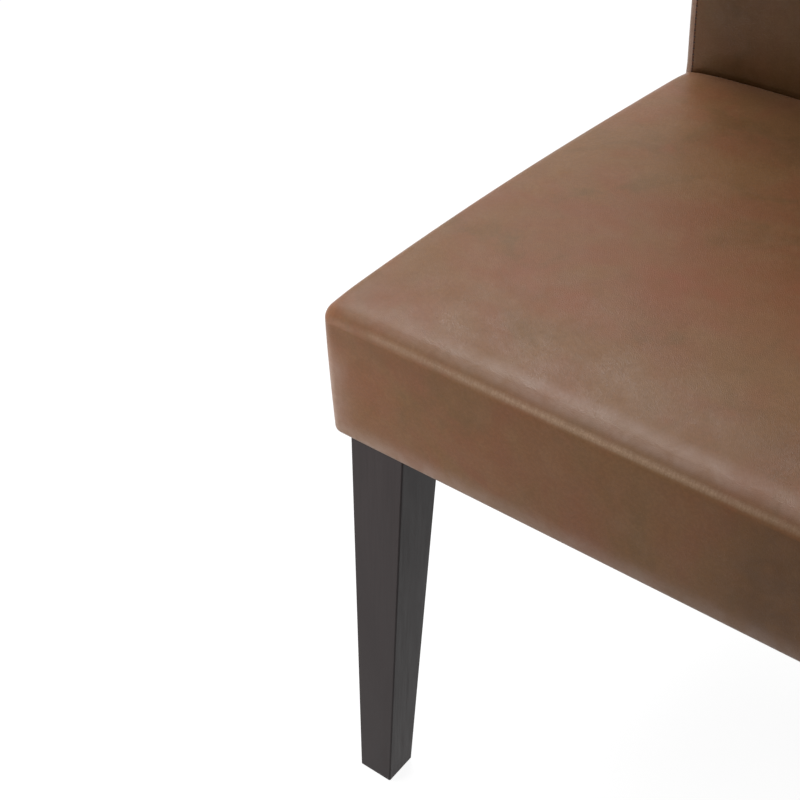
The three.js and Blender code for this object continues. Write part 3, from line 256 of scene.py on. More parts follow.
def cut_away(shape, blocks):
    for low, high in blocks:
        cutter = cut_block(low, high)
        away = shape.modifiers.new("cut", "BOOLEAN")
        away.operation = "DIFFERENCE"
        away.solver = "EXACT"
        away.object = cutter
        apply_modifiers(shape)
        bpy.data.objects.remove(cutter)


# Form of the seat, with the numbers of rows on each stretch of its outer face

HEM_ROWS = 4
BOTTOM_ROLL_ROWS = 7
WALL_ROWS = 22
TOP_ROLL_ROWS = 13
TOP_ROWS = 44
TOP_CROWDING = 1.25


def side_half(y):
    return SEAT_HALF - SEAT_RUN_IN * y / SEAT_DEPTH


def seat_side(inset, rear_inset, corner_steps=12, side_steps=72):
    """The left side of the seat's plan, from the front round the corner to the rear."""
    turn = math.pi / 2 + SIDE_ANGLE
    radius = max(SEAT_CORNER_RADIUS - inset, LEAST_CORNER_RADIUS)
    reach = inset + radius
    centre = np.array([-SEAT_HALF + reach * math.tan(turn / 2), reach])
    angles = np.linspace(0.0, turn, corner_steps + 1)
    arc = centre + radius * np.stack([-np.sin(angles), -np.cos(angles)], 1)
    rear = SEAT_DEPTH - GAP - rear_inset
    end = np.array([-(side_half(rear) - inset / math.cos(SIDE_ANGLE)), rear])
    outward = np.array([-math.sin(turn), -math.cos(turn)])
    t = np.linspace(0.0, 1.0, side_steps + 1)[1:, None]
    line = arc[-1] + (end - arc[-1]) * t + outward * SEAT_SIDE_BOW * np.sin(math.pi * t)
    return np.concatenate([arc, line])


def seat_outline(inset, rear_inset, rear_steps=44, front_steps=70):
    left = seat_side(inset, rear_inset)
    right = (left * [-1, 1])[::-1]
    rear_x = np.linspace(left[-1, 0], -left[-1, 0], rear_steps + 1)[1:-1]
    front_x = np.linspace(-left[0, 0], left[0, 0], front_steps + 1)[1:-1]
    rear = np.stack([rear_x, np.full(rear_x.shape, left[-1, 1])], 1)
    front = np.stack([front_x, np.full(front_x.shape, left[0, 1])], 1)
    return np.concatenate([left, rear, right, front])


def crown_at(x, y):
    """How high the top of the seat is crowned over a place of its plan."""
    along = np.clip(y / SEAT_DEPTH, 0, 1)
    across = np.clip(np.abs(x) / side_half(y), 0, 1)
    swell = np.sin(math.pi * along ** CROWN_FRONT_POWER) * (1 - (1 - EDGE_CROWN_SHARE) * across ** 2)
    rear = rise(along, REAR_CROWN_SHARE, 1) * (1 - across ** 4)
    return SEAT_CROWN * swell + REAR_CROWN * rear


def seat_ring(inset, rear_inset, z):
    plan = seat_outline(inset, rear_inset)
    x, y = plan[:, 0], plan[:, 1].copy()
    up = np.clip((z - SEAT_BOTTOM) / SEAT_BOX_HEIGHT, 0, 1)
    near = np.clip(1 - y / LEG_REAR, 0, 1)
    y -= SEAT_FRONT_BULGE * up * near * np.cos(math.pi / 2 * np.clip(np.abs(x) / SEAT_HALF, 0, 1))
    edge = np.clip((z - WALL_TOP) / SEAT_TOP_RADIUS, 0, 1)
    return np.stack([x, y, z + (crown_at(x, y) - corner_drop(x, y)) * edge], 1)


def corner_drop(x, y):
    """How far the leather is drawn down over the corners of the seat."""
    front = CORNER_DROP * hump(np.hypot(SEAT_HALF - np.abs(x), y), 0, CORNER_DROP_REACH)
    rear_inward = np.hypot(side_half(y) - np.abs(x), SEAT_DEPTH - y)
    return front + REAR_CORNER_DROP * hump(rear_inward, 0, REAR_CORNER_REACH)


def wall_inset(z):
    """How far the wall of the seat draws in below its top edge."""
    up = np.clip((z - RAIL_BOTTOM) / (WALL_TOP - RAIL_BOTTOM), 0, 1)
    return SEAT_TUCK * (1 - up) ** TUCK_POWER


def seat_shell():
    """The outer face of the seat cover, in rows from its hem to the middle of its top."""
    hem_top = RAIL_BOTTOM - GAP - LEATHER
    rows = []
    for inset in np.linspace(SEAT_HEM, SEAT_ROLL, HEM_ROWS):
        rows.append((SEAT_TUCK + inset, inset, hem_top))
    turned = SEAT_ROLL - HEM_TURN
    rows.append((SEAT_TUCK + turned, turned, (hem_top + SEAT_BOTTOM) / 2))
    for a in np.radians(np.linspace(0, 90, BOTTOM_ROLL_ROWS)):
        inset = SEAT_BOTTOM_RADIUS * (1 - math.sin(a))
        rows.append((SEAT_TUCK + inset, inset, RAIL_BOTTOM - SEAT_BOTTOM_RADIUS * math.cos(a)))
    for z in np.linspace(RAIL_BOTTOM, WALL_TOP, WALL_ROWS)[1:]:
        rows.append((wall_inset(z), 0.0, z))
    for a in np.radians(np.linspace(0, 90, TOP_ROLL_ROWS))[1:]:
        inset = SEAT_TOP_RADIUS * (1 - math.cos(a))
        rows.append((inset, inset, WALL_TOP + SEAT_TOP_RADIUS * math.sin(a)))
    rings = [seat_ring(*row) for row in rows]
    rim = seat_outline(SEAT_TOP_RADIUS, SEAT_TOP_RADIUS)
    for share in np.linspace(0, 1, TOP_ROWS)[1:-1] ** TOP_CROWDING:
        x = rim[:, 0] * (1 - share)
        y = rim[:, 1] + (SEAT_DEPTH / 2 - rim[:, 1]) * share
        rings.append(np.stack([x, y, SEAT_HEIGHT + crown_at(x, y) - corner_drop(x, y)], 1))
    return rings


def seat_body(name, closed_below):
    """The outer face of the seat as one mesh, open below for a cover and closed for a pad."""
    rings = seat_shell()
    columns, middle = len(rings[0]), SEAT_DEPTH / 2
    tips = [(0.0, middle, SEAT_HEIGHT + crown_at(0.0, middle))]
    if closed_below:
        tips.insert(0, (0.0, middle, rings[0][0, 2]))
    points = np.concatenate(rings + [np.array(tips)])
    tip, last = len(points) - 1, (len(rings) - 1) * columns
    faces = tube_faces(len(rings), columns)
    for c in range(columns):
        beside = (c + 1) % columns
        if closed_below:
            faces.append((beside, c, tip - 1))
        faces.append((last + c, last + beside, tip))
    body = add_object(name, points, faces)
    face_outwards(body)
    return body


# Form of the back, with the numbers of rows and columns on its faces

PANEL_ROWS = 90
PANEL_COLUMNS = 61
CORNER_ROWS = 15
COLUMN_CROWDING = 1.6


def back_share(z):
    return np.clip((z - SEAT_HEIGHT) / (CHAIR_HEIGHT - SEAT_HEIGHT), 0, 1)


def back_front(z):
    t = back_share(z)
    return SEAT_DEPTH + BACK_RECLINE * (RECLINE_START * t + (1 - RECLINE_START) * t * t)


def back_rear(z):
    t = back_share(z)
    foam = BACK_FOAM + (BACK_TOP_FOAM - BACK_FOAM) * t
    post = POST_DEPTH + (POST_TOP_DEPTH - POST_DEPTH) * t
    return back_front(z) + POST_FRONT_STACK + foam + post + POST_REAR_STACK


def back_half(z):
    t = back_share(z)
    return SEAT_REAR_HALF + BACK_STEP_OUT + BACK_FLARE * (2 * t - t * t)


ARC_CENTRE = float(back_half(BACK_TOP)) - BACK_CORNER_RADIUS


def inset_half(z, inset):
    """Half the width of the back at a height, in from its outline by an inset."""
    above = np.maximum(z - ARC_BASE, 0)
    radius = BACK_CORNER_RADIUS - inset
    arc = ARC_CENTRE + np.sqrt(np.maximum(radius ** 2 - above ** 2, 0))
    return np.where(z <= ARC_BASE, back_half(z) - inset, arc)


def edge_distance(x, level):
    """How far a point of the back lies inside its outline."""
    dx = np.abs(x) - ARC_CENTRE
    dz = level - ARC_BASE
    corner = BACK_CORNER_RADIUS - np.hypot(dx, dz)
    plain = np.minimum(back_half(level) - np.abs(x), BACK_TOP - level)
    return np.where((dx > 0) & (dz > 0), corner, plain)


def edge_roll(distance, radius):
    """How far a rounded edge falls back at a distance from it."""
    lever = np.clip(radius - distance, 0, radius)
    return radius - np.sqrt(radius ** 2 - lever ** 2)


def face_point(x, level, lift_share, front):
    """Points of the front or rear face of the back, from their place across it and their level."""
    half = inset_half(level, 0.0)
    u = np.clip(np.abs(x) / half, 0, 1)
    z = level + BACK_TOP_CROWN * (1 - u * u) * lift_share ** 3
    distance = edge_distance(x, level)
    seam = FRONT_SEAM_INSET if front else REAR_SEAM_INSET
    dip = SEAM_DIP * np.clip(1 - (distance - seam) / SEAM_REACH, 0, 1) ** 2
    if not front:
        y = back_rear(z) - edge_roll(distance, BACK_REAR_EDGE_RADIUS) - dip
        return np.stack([x, y, z], -1)
    above = np.clip((z - SEAT_HEIGHT - SEAT_CROWN) / (BACK_TOP - SEAT_HEIGHT - SEAT_CROWN), 0, 1)
    pillow = (1 - u ** 4) * np.sin(math.pi * above ** CROWN_FRONT_POWER)
    y = back_front(z) + edge_roll(distance, BACK_FRONT_EDGE_RADIUS) - BACK_FRONT_CROWN * pillow + dip
    return np.stack([x, y, z], -1)


def panel_grid(bottom, inset, front):
    """Rows of points over a panel, whose columns crowd towards both sides."""
    low = np.linspace(bottom, ARC_BASE, PANEL_ROWS)
    angles = np.linspace(0, math.pi / 2, CORNER_ROWS)[1:]
    levels = np.concatenate([low, ARC_BASE + (BACK_CORNER_RADIUS - inset) * np.sin(angles)])
    t = np.linspace(-1, 1, PANEL_COLUMNS)
    shares = np.sign(t) * (1 - (1 - np.abs(t)) ** COLUMN_CROWDING)
    rows = []
    for level in levels:
        x = shares * inset_half(level, inset)
        lift = (level - bottom) / (levels[-1] - bottom)
        rows.append(face_point(x, np.full(x.shape, level), lift, front))
    return np.array(rows)


def back_panel(name, bottom, inset, front):
    rows = panel_grid(bottom, inset, front)
    return add_object(name, rows, tube_faces(*rows.shape[:2], closed=False))


def back_outline():
    """Points of the back's outline and their outward normals, up the left, over the top and down."""
    beside_seat = [np.linspace(SEAT_BOTTOM, WALL_TOP, 16), np.linspace(WALL_TOP, SEAT_HEIGHT, 6)[1:]]
    heights = np.concatenate([*beside_seat, np.linspace(SEAT_HEIGHT, ARC_BASE, 80)[1:]])
    left = [(-float(back_half(z)), z, -1.0, 0.0) for z in heights]
    radius = BACK_CORNER_RADIUS
    for a in np.linspace(0, math.pi / 2, CORNER_ROWS)[1:]:
        nx, nz = -math.cos(a), math.sin(a)
        left.append((-ARC_CENTRE + radius * nx, ARC_BASE + radius * nz, nx, nz))
    top = []
    for u in np.linspace(-1, 1, PANEL_COLUMNS)[1:-1]:
        top.append((u * ARC_CENTRE, BACK_TOP + BACK_TOP_CROWN * (1 - u * u), 0.0, 1.0))
    right = [(-x, z, -nx, nz) for x, z, nx, nz in reversed(left)]
    return left + top + right


# Edges of the strip: inset of the seam, radius, dip at the seam, radians that it spans, and steps
STRIP_FRONT_EDGE = (FRONT_SEAM_INSET, BACK_FRONT_EDGE_RADIUS, 0.35, 0.2, 9)
STRIP_REAR_EDGE = (REAR_SEAM_INSET, BACK_REAR_EDGE_RADIUS, 0.7, 0.3, 8)


def strip_edge(inset, radius, dip, dip_span, steps):
    """Inset and depth round one edge of the strip, from its flat to its end tucked in at the seam."""
    turn = math.acos(1 - inset / radius)
    edge = []
    for a in np.linspace(0, 1, steps) * turn:
        sunk = dip * max(0.0, 1 - (turn - a) / dip_span) ** 2
        into = radius * (1 - math.cos(a)) + sunk * math.cos(a)
        edge.append((into, radius * (1 - math.sin(a)) + sunk))
    return edge + [(inset + STRIP_TUCK, radius * (1 - math.sin(turn)) + STRIP_TUCK_DEPTH)]


def strip_section(z):
    """Inset and depth of the strip's section at a height, from the front seam to the rear seam."""
    front, rear = float(back_front(z)), float(back_rear(z))
    start, end = front + BACK_FRONT_EDGE_RADIUS, rear - BACK_REAR_EDGE_RADIUS
    section = [(inset, front + depth) for inset, depth in reversed(strip_edge(*STRIP_FRONT_EDGE))]
    for t in np.linspace(0, 1, 12)[1:-1]:
        section.append((-STRIP_SWELL * math.sin(math.pi * t), start + (end - start) * t))
    return section + [(inset, rear - depth) for inset, depth in strip_edge(*STRIP_REAR_EDGE)]


def side_strip():
    """The strip round the sides and the top, turned in under the back at both ends."""
    rows = np.array([
        [(x - nx * inset, y, z - nz * inset) for inset, y in strip_section(z)]
        for x, z, nx, nz in back_outline()
    ])
    inwards = np.array([STRIP_UNDER_REAR, 0.0, 0.0])
    rows = np.concatenate([rows[:1] + inwards, rows, rows[-1:] - inwards])
    return add_object("back_side_strip", rows, tube_faces(*rows.shape[:2], closed=False))


# Settling: each pad swells as cloth under pressure, and its cover, started smaller, goes with it

VOXEL = 6.0
SWELL_FRAMES = 20
SWELL_CAP = 2.2
START_SMALLER = 1.0
HELD_BELOW = 438.6
HELD_AT_REAR = 10.0
HELD_AT_SEAM = 9.0
FREE_FROM_REAR = 60.0
FREE_FROM_SEAM = 50.0
EDGE_HELD_TO_FREE = (6.0, 45.0)
TUCK_HELD_TO_FREE = (SEAT_HEIGHT + 8, SEAT_HEIGHT + 60)
NEIGHBOURS = 8
NEAREST_PULL = 2.0
PAD_CLOTH = {
    "quality": 5, "mass": 0.4, "tension_stiffness": 80, "compression_stiffness": 80,
    "shear_stiffness": 30, "bending_stiffness": 5, "use_pressure": True,
    "uniform_pressure_force": 4.0, "vertex_group_mass": "held",
}


def form_points(shape):
    """The vertices of a shape in millimetres of the form."""
    points = np.empty(len(shape.data.vertices) * 3)
    shape.data.vertices.foreach_get("co", points)
    points = points.reshape(-1, 3) / MM
    points[:, 1] -= ORIGIN_Y
    return points


def swelling(pad, held_of):
    """Remeshes a closed pad, swells it as cloth, and gives its points before and after."""
    remesh = pad.modifiers.new("voxels", "REMESH")
    remesh.mode = "VOXEL"
    remesh.voxel_size = VOXEL * MM
    apply_modifiers(pad)
    start = form_points(pad)
    held = pad.vertex_groups.new(name="held")
    held.add([int(index) for index in np.nonzero(held_of(start))[0]], 1.0, "REPLACE")
    cloth = pad.modifiers.new("swell", "CLOTH")
    for setting, value in PAD_CLOTH.items():
        setattr(cloth.settings, setting, value)
    cloth.settings.effector_weights.gravity = 0
    cloth.point_cache.frame_start = 1
    cloth.point_cache.frame_end = SWELL_FRAMES
    scene = bpy.context.scene
    for number in range(1, SWELL_FRAMES + 1):
        scene.frame_set(number)
    apply_modifiers(pad)
    end = form_points(pad)
    scene.frame_set(1)
    bpy.data.objects.remove(pad)
    return start, end


def settle(cover, pad, held_of, share_of):
    """Draws a cover in along its normals and lets the swelling of its pad push it out again."""
    start, end = swelling(pad, held_of)
    shift = end - start
    length = np.linalg.norm(shift, axis=1, keepdims=True)
    shift *= SWELL_CAP / (SWELL_CAP + length)
    tree = tree_of(start)
    points = form_points(cover)
    share = share_of(points)
    normals = np.empty(len(points) * 3)
    cover.data.vertices.foreach_get("normal", normals)
    normals = normals.reshape(-1, 3)
    for index in np.nonzero(share > 0)[0]:
        near = tree.find_n(points[index], NEIGHBOURS)
        pull = np.array([1.0 / (distance + NEAREST_PULL) for _, _, distance in near])
        push = (shift[[i for _, i, _ in near]] * pull[:, None]).sum(0) / pull.sum()
        points[index] += (push - normals[index] * START_SMALLER) * share[index]
    cover.data.vertices.foreach_set("co", placed(points).ravel())
    cover.data.update()


def seat_held(points):
    """Held where the rails back the leather, and against the back."""
    return (points[:, 2] < HELD_BELOW) | (points[:, 1] > SEAT_DEPTH - HELD_AT_REAR)


def seat_share(points):
    """How far the seat cover goes with its pad: fully on the top, not at its edges and the rear."""
    rear = rise(SEAT_DEPTH - points[:, 1], HELD_AT_REAR, FREE_FROM_REAR)
    return rear * rise(seat_depth_in(points), *EDGE_HELD_TO_FREE) * (points[:, 2] > ON_TOP)


def back_pad(bottom, inset):
    """The front of the back as one closed body, from its leather to the frame."""
    front = panel_grid(bottom, inset, True)
    rear = front.copy()
    rear[:, :, 1] = back_front(rear[:, :, 2]) + BACK_FOAM
    rows, columns = front.shape[:2]
    faces = tube_faces(rows, columns, closed=False)
    count = rows * columns
    faces += [tuple(count + i for i in reversed(face)) for face in faces]
    rim = list(range(columns)) + [r * columns + columns - 1 for r in range(1, rows)]
    rim += [(rows - 1) * columns + c for c in range(columns - 2, -1, -1)]
    rim += [r * columns for r in range(rows - 2, 0, -1)]
    faces += [(a, b, b + count, a + count) for a, b in zip(rim, rim[1:] + rim[:1])]
    pad = add_object("back_pad", np.concatenate([front.reshape(-1, 3), rear.reshape(-1, 3)]), faces)
    face_outwards(pad)
    return pad


def back_held(points):
    """Held along the seams, at the frame and below the seat."""
    seam = edge_distance(points[:, 0], points[:, 2]) < FRONT_SEAM_INSET + HELD_AT_SEAM
    behind = points[:, 1] > back_front(points[:, 2]) + BACK_FOAM / 2
    return seam | behind | (points[:, 2] < SEAT_HEIGHT)


def back_share_held(points):
    """How far the front panel goes with its pad: fully in its middle, not at its seams and its tuck."""
    inward = edge_distance(points[:, 0], points[:, 2]) - FRONT_SEAM_INSET
    return rise(inward, HELD_AT_SEAM, FREE_FROM_SEAM) * rise(points[:, 2], *TUCK_HELD_TO_FREE)


# Finishes: small helpers that place nodes, then the effects that several finishes share

class Bench:
    """Lays nodes in one tree and joins them, for a finish or for an effect that finishes share."""

    def __init__(self, tree):
        self.tree = tree

    def node(self, kind, feeds=(), **settings):
        made = self.tree.nodes.new(kind)
        for key, value in settings.items():
            setattr(made, key, value)
        for socket, value in dict(feeds).items():
            self.feed(made.inputs[socket], value)
        return made

    def feed(self, socket, value):
        if isinstance(value, bpy.types.NodeSocket):
            self.tree.links.new(value, socket)
        else:
            socket.default_value = value

    def place(self):
        """Coordinates on the object in metres."""
        return self.node("ShaderNodeTexCoord").outputs["Object"]

    def stretched(self, place, scale, turn=(0, 0, 0)):
        """Coordinates that draw a pattern out where the scale is small."""
        made = self.node("ShaderNodeMapping", {"Vector": place, "Scale": scale, "Rotation": turn})
        return made.outputs["Vector"]

    def clouds(self, place, size, detail=3.0, rough=0.5, twist=0.0):
        """Soft noise whose patches are about a size in metres."""
        feeds = {"Vector": place, "Scale": 1 / size, "Detail": detail, "Roughness": rough}
        return self.node("ShaderNodeTexNoise", {**feeds, "Distortion": twist}).outputs["Fac"]

    def pebbles(self, place, size):
        """How far a point is from the edge of its pebble."""
        feeds = {"Vector": place, "Scale": 1 / size}
        return self.node("ShaderNodeTexVoronoi", feeds, feature="DISTANCE_TO_EDGE").outputs["Distance"]

    def reach(self, value, low, high, start=0.0, end=1.0):
        """A value spread smoothly from one range to another."""
        feeds = {"Value": value, "From Min": low, "From Max": high, "To Min": start, "To Max": end}
        return self.node("ShaderNodeMapRange", feeds, interpolation_type="SMOOTHSTEP").outputs["Result"]

    def mark(self, name):
        """A share kept on the points of the piece."""
        return self.node("ShaderNodeAttribute", attribute_name=name).outputs["Fac"]

    def work(self, operation, first, second=0.0):
        return self.node("ShaderNodeMath", {0: first, 1: second}, operation=operation).outputs[0]

    def times(self, first, second):
        return self.work("MULTIPLY", first, second)

    def plus(self, first, second):
        return self.work("ADD", first, second)

    def minus(self, first, second):
        return self.work("SUBTRACT", first, second)

    def blend(self, share, first, second):
        return self.node("ShaderNodeMix", {0: share, 6: first, 7: second}, data_type="RGBA").outputs[2]

    def bump(self, height, depth, normal=None):
        feeds = {"Height": height, "Distance": depth}
        if normal:
            feeds["Normal"] = normal
        return self.node("ShaderNodeBump", feeds).outputs["Normal"]


def paint(red, green, blue):
    """A colour from its 0 to 255 values on a screen."""
    def one(value):
        value /= 255
        return value / 12.92 if value <= 0.04045 else ((value + 0.055) / 1.055) ** 2.4
    return (one(red), one(green), one(blue), 1.0)


SOCKETS = {"colour": "NodeSocketColor", "value": "NodeSocketFloat", "normal": "NodeSocketVector"}


def effect(name, inputs, outputs, build):
    """A shared effect with named inputs and outputs, built by a function of its bench and inputs."""
    tree = bpy.data.node_groups.new(name, "ShaderNodeTree")
    for label, kind, value in inputs:
        socket = tree.interface.new_socket(label, in_out="INPUT", socket_type=SOCKETS[kind])
        socket.default_value = value
    for label, kind in outputs:
        tree.interface.new_socket(label, in_out="OUTPUT", socket_type=SOCKETS[kind])
    bench = Bench(tree)
    given = bench.node("NodeGroupInput").outputs
    results = build(bench, given)
    end = bench.node("NodeGroupOutput")
    for label, value in results.items():
        bench.feed(end.inputs[label], value)
    return tree


# Clouds over the hide: tone, stretch, pattern (as below), range and strength
HIDE_CLOUDS = [
    ("Warm tone", None, (0.085, 3.0, 0.55, 0.6), (0.42, 0.66), 0.75),
    ("Olive tone", (1, 1, 0.55), (0.055, 3.0, 0.6, 0.9), (0.46, 0.7), 0.6),
    ("Rubbed tone", None, (0.028, 4.0, 0.6, 0.4), (0.45, 0.75), 0.35),
]
# Patterns of the hide: size in metres, detail, roughness and twist
FLECKS = (0.0024, 2.0, 0.6)
TONING_PATCHES = (0.016, 4.0, 0.6, 0.5)
STREAKS = (0.0009, 3.0, 0.65)
SPECKS = (0.0013, 3.0, 0.7)
CREASES = (0.011, 6.0, 0.7, 1.6)
HAIRLINES = (0.03, 4.0, 0.6)
GLOSS_CLOUDS = (0.02, 4.0, 0.6)
PEBBLE_SIZE = 0.0011
PEBBLE_SHIFT = 0.0011
SHIFTS_PER_METRE = 420.0
PORE_SHARE = 0.16
STREAK_SHARE = 0.4
HIDE_DEPTH = 0.00006


def build_hide(bench, given):
    """Aniline leather: warm and olive clouds, rubbed patches, pores and fine pebble grain."""
    place = bench.place()
    colour = given["Tone"]
    for tone, stretch, pattern, (low, high), strength in HIDE_CLOUDS:
        cloud = bench.clouds(bench.stretched(place, stretch) if stretch else place, *pattern)
        colour = bench.blend(bench.times(bench.reach(cloud, low, high), strength), colour, given[tone])
    flecks = bench.reach(bench.clouds(place, *FLECKS), 0.3, 0.75)
    colour = bench.blend(bench.reach(flecks, 0.0, 1.0, PORE_SHARE, 0.0), colour, given["Pore tone"])

    patches = bench.reach(bench.clouds(place, *TONING_PATCHES), 0.3, 0.7, 0.55, 1.0)
    # Kept marks: rust patches of the hide, painted shade and painted sheen, each broken up by patches
    for name, tone in (("warmth", "Rust tone"), ("shade", "Deep tone"), ("bloom", "Painted sheen tone")):
        colour = bench.blend(bench.times(bench.mark(name), patches), colour, given[tone])
    # The wear mark is rubbed leather with a painted highlight along the top edge, in its own tone
    wear = bench.mark("wear")
    across = bench.clouds(bench.stretched(place, (1.0, 0.2, 0.2)), *STREAKS)
    streaks = bench.reach(bench.times(across, bench.clouds(place, *SPECKS)), 0.17, 0.36)
    rubbed_and_highlit_edge = bench.times(wear, bench.plus(bench.times(streaks, STREAK_SHARE), 1 - STREAK_SHARE))
    colour = bench.blend(rubbed_and_highlit_edge, colour, given["Worn tone"])

    noise = {"Vector": place, "Scale": SHIFTS_PER_METRE, "Detail": 2.0}
    wander = bench.node("ShaderNodeTexNoise", noise).outputs["Color"]
    shift = bench.node("ShaderNodeVectorMath", {0: wander, "Scale": PEBBLE_SHIFT}, operation="SCALE")
    skin = bench.node("ShaderNodeVectorMath", {0: place, 1: shift.outputs[0]}, operation="ADD")
    grain = bench.reach(bench.pebbles(skin.outputs[0], PEBBLE_SIZE), 0.0, 0.34)
    creases = bench.reach(bench.clouds(place, *CREASES), 0.47, 0.52)
    drawn = bench.stretched(place, (1.0, 9.0, 2.0), (0.2, 0.1, 0.7))
    hairlines = bench.reach(bench.clouds(drawn, *HAIRLINES), 0.66, 0.69)
    height = bench.minus(bench.plus(grain, bench.times(creases, 0.25)), bench.times(hairlines, 0.3))

    gloss = bench.reach(bench.clouds(place, *GLOSS_CLOUDS), 0.3, 0.75, 0.36, 0.48)
    gloss = bench.minus(bench.minus(gloss, bench.times(grain, 0.07)), bench.times(wear, 0.1))
    return {"Color": colour, "Roughness": gloss, "Height": height}


HIDE = effect(
    "leather_hide",
    [("Tone", "colour", paint(137, 98, 63)), ("Warm tone", "colour", paint(141, 89, 60)),
     ("Olive tone", "colour", paint(120, 90, 55)), ("Rubbed tone", "colour", paint(149, 112, 80)),
     ("Pore tone", "colour", paint(84, 57, 39)), ("Worn tone", "colour", paint(190, 158, 130)),
     ("Rust tone", "colour", paint(146, 82, 56)), ("Deep tone", "colour", paint(108, 76, 48)),
     ("Painted sheen tone", "colour", paint(178, 152, 138))],
    [("Color", "colour"), ("Roughness", "value"), ("Height", "value")],
    build_hide,
)


def build_grain(bench, given):
    """Timber: long streaks along Z, short pores and broad changes of tone."""
    place = bench.place()
    streaks = bench.clouds(bench.stretched(place, (1.0, 1.0, 0.035)), 0.0022, 4.0, 0.65, 0.4)
    pores = bench.clouds(bench.stretched(place, (1.0, 1.0, 0.08)), 0.0009, 2.0, 0.5)
    pores = bench.reach(pores, 0.6, 0.72)
    broad = bench.clouds(bench.stretched(place, (1.0, 1.0, 0.2)), 0.03, 3.0, 0.5, 0.5)
    share = bench.reach(bench.plus(bench.times(streaks, 0.6), bench.times(broad, 0.4)), 0.32, 0.68)
    colour = bench.blend(share, given["Dark tone"], given["Pale tone"])
    colour = bench.blend(bench.times(pores, given["Pore depth"]), colour, given["Dark tone"])
    return {"Color": colour, "Height": bench.minus(streaks, pores), "Streaks": streaks}


GRAIN = effect(
    "wood_grain",
    [("Dark tone", "colour", paint(50, 45, 46)), ("Pale tone", "colour", paint(58, 53, 54)),
     ("Pore depth", "value", 0.5)],
    [("Color", "colour"), ("Height", "value"), ("Streaks", "value")],
    build_grain,
)


def build_edge(bench, given):
    """Where a corner of the piece is within a width of the surface."""
    turned = bench.node("ShaderNodeBevel", {"Radius": given["Width"]}, samples=6).outputs["Normal"]
    flat = bench.node("ShaderNodeNewGeometry").outputs["Normal"]
    along = bench.node("ShaderNodeVectorMath", {0: turned, 1: flat}, operation="DOT_PRODUCT")
    return {"Mask": bench.reach(along.outputs["Value"], 0.995, 0.9), "Normal": turned}


EDGE = effect(
    "worn_edge", [("Width", "value", 0.0012)], [("Mask", "value"), ("Normal", "normal")], build_edge,
)


def build_cloth(bench, given):
    """Threads crossing over and under, from two waves at right angles."""
    place = bench.place()
    x, y, z = bench.node("ShaderNodeSeparateXYZ", {"Vector": place}).outputs
    turn = bench.work("DIVIDE", 2 * math.pi, given["Pitch"])
    side = bench.work("SINE", bench.times(x, turn))
    lay = bench.work("SINE", bench.times(bench.plus(y, z), turn))
    fuzz = bench.clouds(place, 0.0016, 3.0, 0.6)
    height = bench.plus(bench.times(bench.times(side, lay), 0.5), fuzz)
    share = bench.reach(height, 0.1, 1.1)
    return {"Color": bench.blend(share, given["Dark tone"], given["Pale tone"]), "Height": height}


CLOTH = effect(
    "crossed_threads",
    [("Dark tone", "colour", paint(30, 30, 32)), ("Pale tone", "colour", paint(50, 50, 54)),
     ("Pitch", "value", 0.0016)],
    [("Color", "colour"), ("Height", "value")],
    build_cloth,
)


def build_mottle(bench, given):
    """Fine speckle over soft clouds, for metal, moulding, felt and board."""
    place = bench.place()
    fine = bench.clouds(place, 0.0012, 3.0, 0.65)
    broad = bench.clouds(place, 0.018, 3.0, 0.5)
    share = bench.reach(bench.plus(bench.times(fine, 0.55), bench.times(broad, 0.45)), 0.35, 0.65)
    colour = bench.blend(share, given["Dark tone"], given["Pale tone"])
    return {"Color": colour, "Height": fine, "Share": share}


MOTTLE = effect(
    "speckle",
    [("Dark tone", "colour", paint(90, 90, 90)), ("Pale tone", "colour", paint(120, 120, 120))],
    [("Color", "colour"), ("Height", "value"), ("Share", "value")],
    build_mottle,
)


# Finishes

def empty_bench(owner):
    """A bench on the cleared node tree of a material or a world."""
    owner.use_nodes = True
    owner.node_tree.nodes.clear()
    return Bench(owner.node_tree)


def finish(name, feeds_of):
    """A material with one Principled shader, fed by what a function lays on its bench."""
    made = bpy.data.materials.new(name)
    bench = empty_bench(made)
    shader = bench.node("ShaderNodeBsdfPrincipled", feeds_of(bench))
    bench.node("ShaderNodeOutputMaterial", {"Surface": shader.outputs["BSDF"]})
    return made


def placed_effect(bench, tree, **values):
    """Places a shared effect; its inputs are named with low lines for spaces."""
    feeds = {label.replace("_", " "): value for label, value in values.items()}
    return bench.node("ShaderNodeGroup", feeds, node_tree=tree).outputs


def leather_finish(name, **tones):
    def feeds(bench):
        hide = placed_effect(bench, HIDE, **tones)
        return {
            "Base Color": hide["Color"], "Roughness": hide["Roughness"],
            "Normal": bench.bump(hide["Height"], HIDE_DEPTH),
            "Specular IOR Level": 0.16, "Sheen Weight": 0.08, "Sheen Roughness": 0.35,
        }
    return finish(name, feeds)


def wood_finish(name, dark, pale, pore_depth, roughness, gloss, depth, edge_tone, edge_width):
    def feeds(bench):
        grain = placed_effect(bench, GRAIN, Dark_tone=dark, Pale_tone=pale, Pore_depth=pore_depth)
        edge = placed_effect(bench, EDGE, Width=edge_width)
        return {
            "Base Color": bench.blend(bench.times(edge["Mask"], 0.7), grain["Color"], edge_tone),
            "Roughness": bench.reach(grain["Streaks"], 0.2, 0.8, roughness - 0.05, roughness + 0.07),
            "Normal": bench.bump(grain["Height"], depth, edge["Normal"]),
            "Specular IOR Level": gloss,
        }
    return finish(name, feeds)


def speckled_finish(name, dark, pale, roughness, metallic=0.0, depth=0.00003, gloss=0.5):
    def feeds(bench):
        speck = placed_effect(bench, MOTTLE, Dark_tone=dark, Pale_tone=pale)
        return {
            "Base Color": speck["Color"],
            "Roughness": bench.reach(speck["Share"], 0.0, 1.0, roughness - 0.06, roughness + 0.08),
            "Normal": bench.bump(speck["Height"], depth),
            "Metallic": metallic, "Specular IOR Level": gloss,
        }
    return finish(name, feeds)


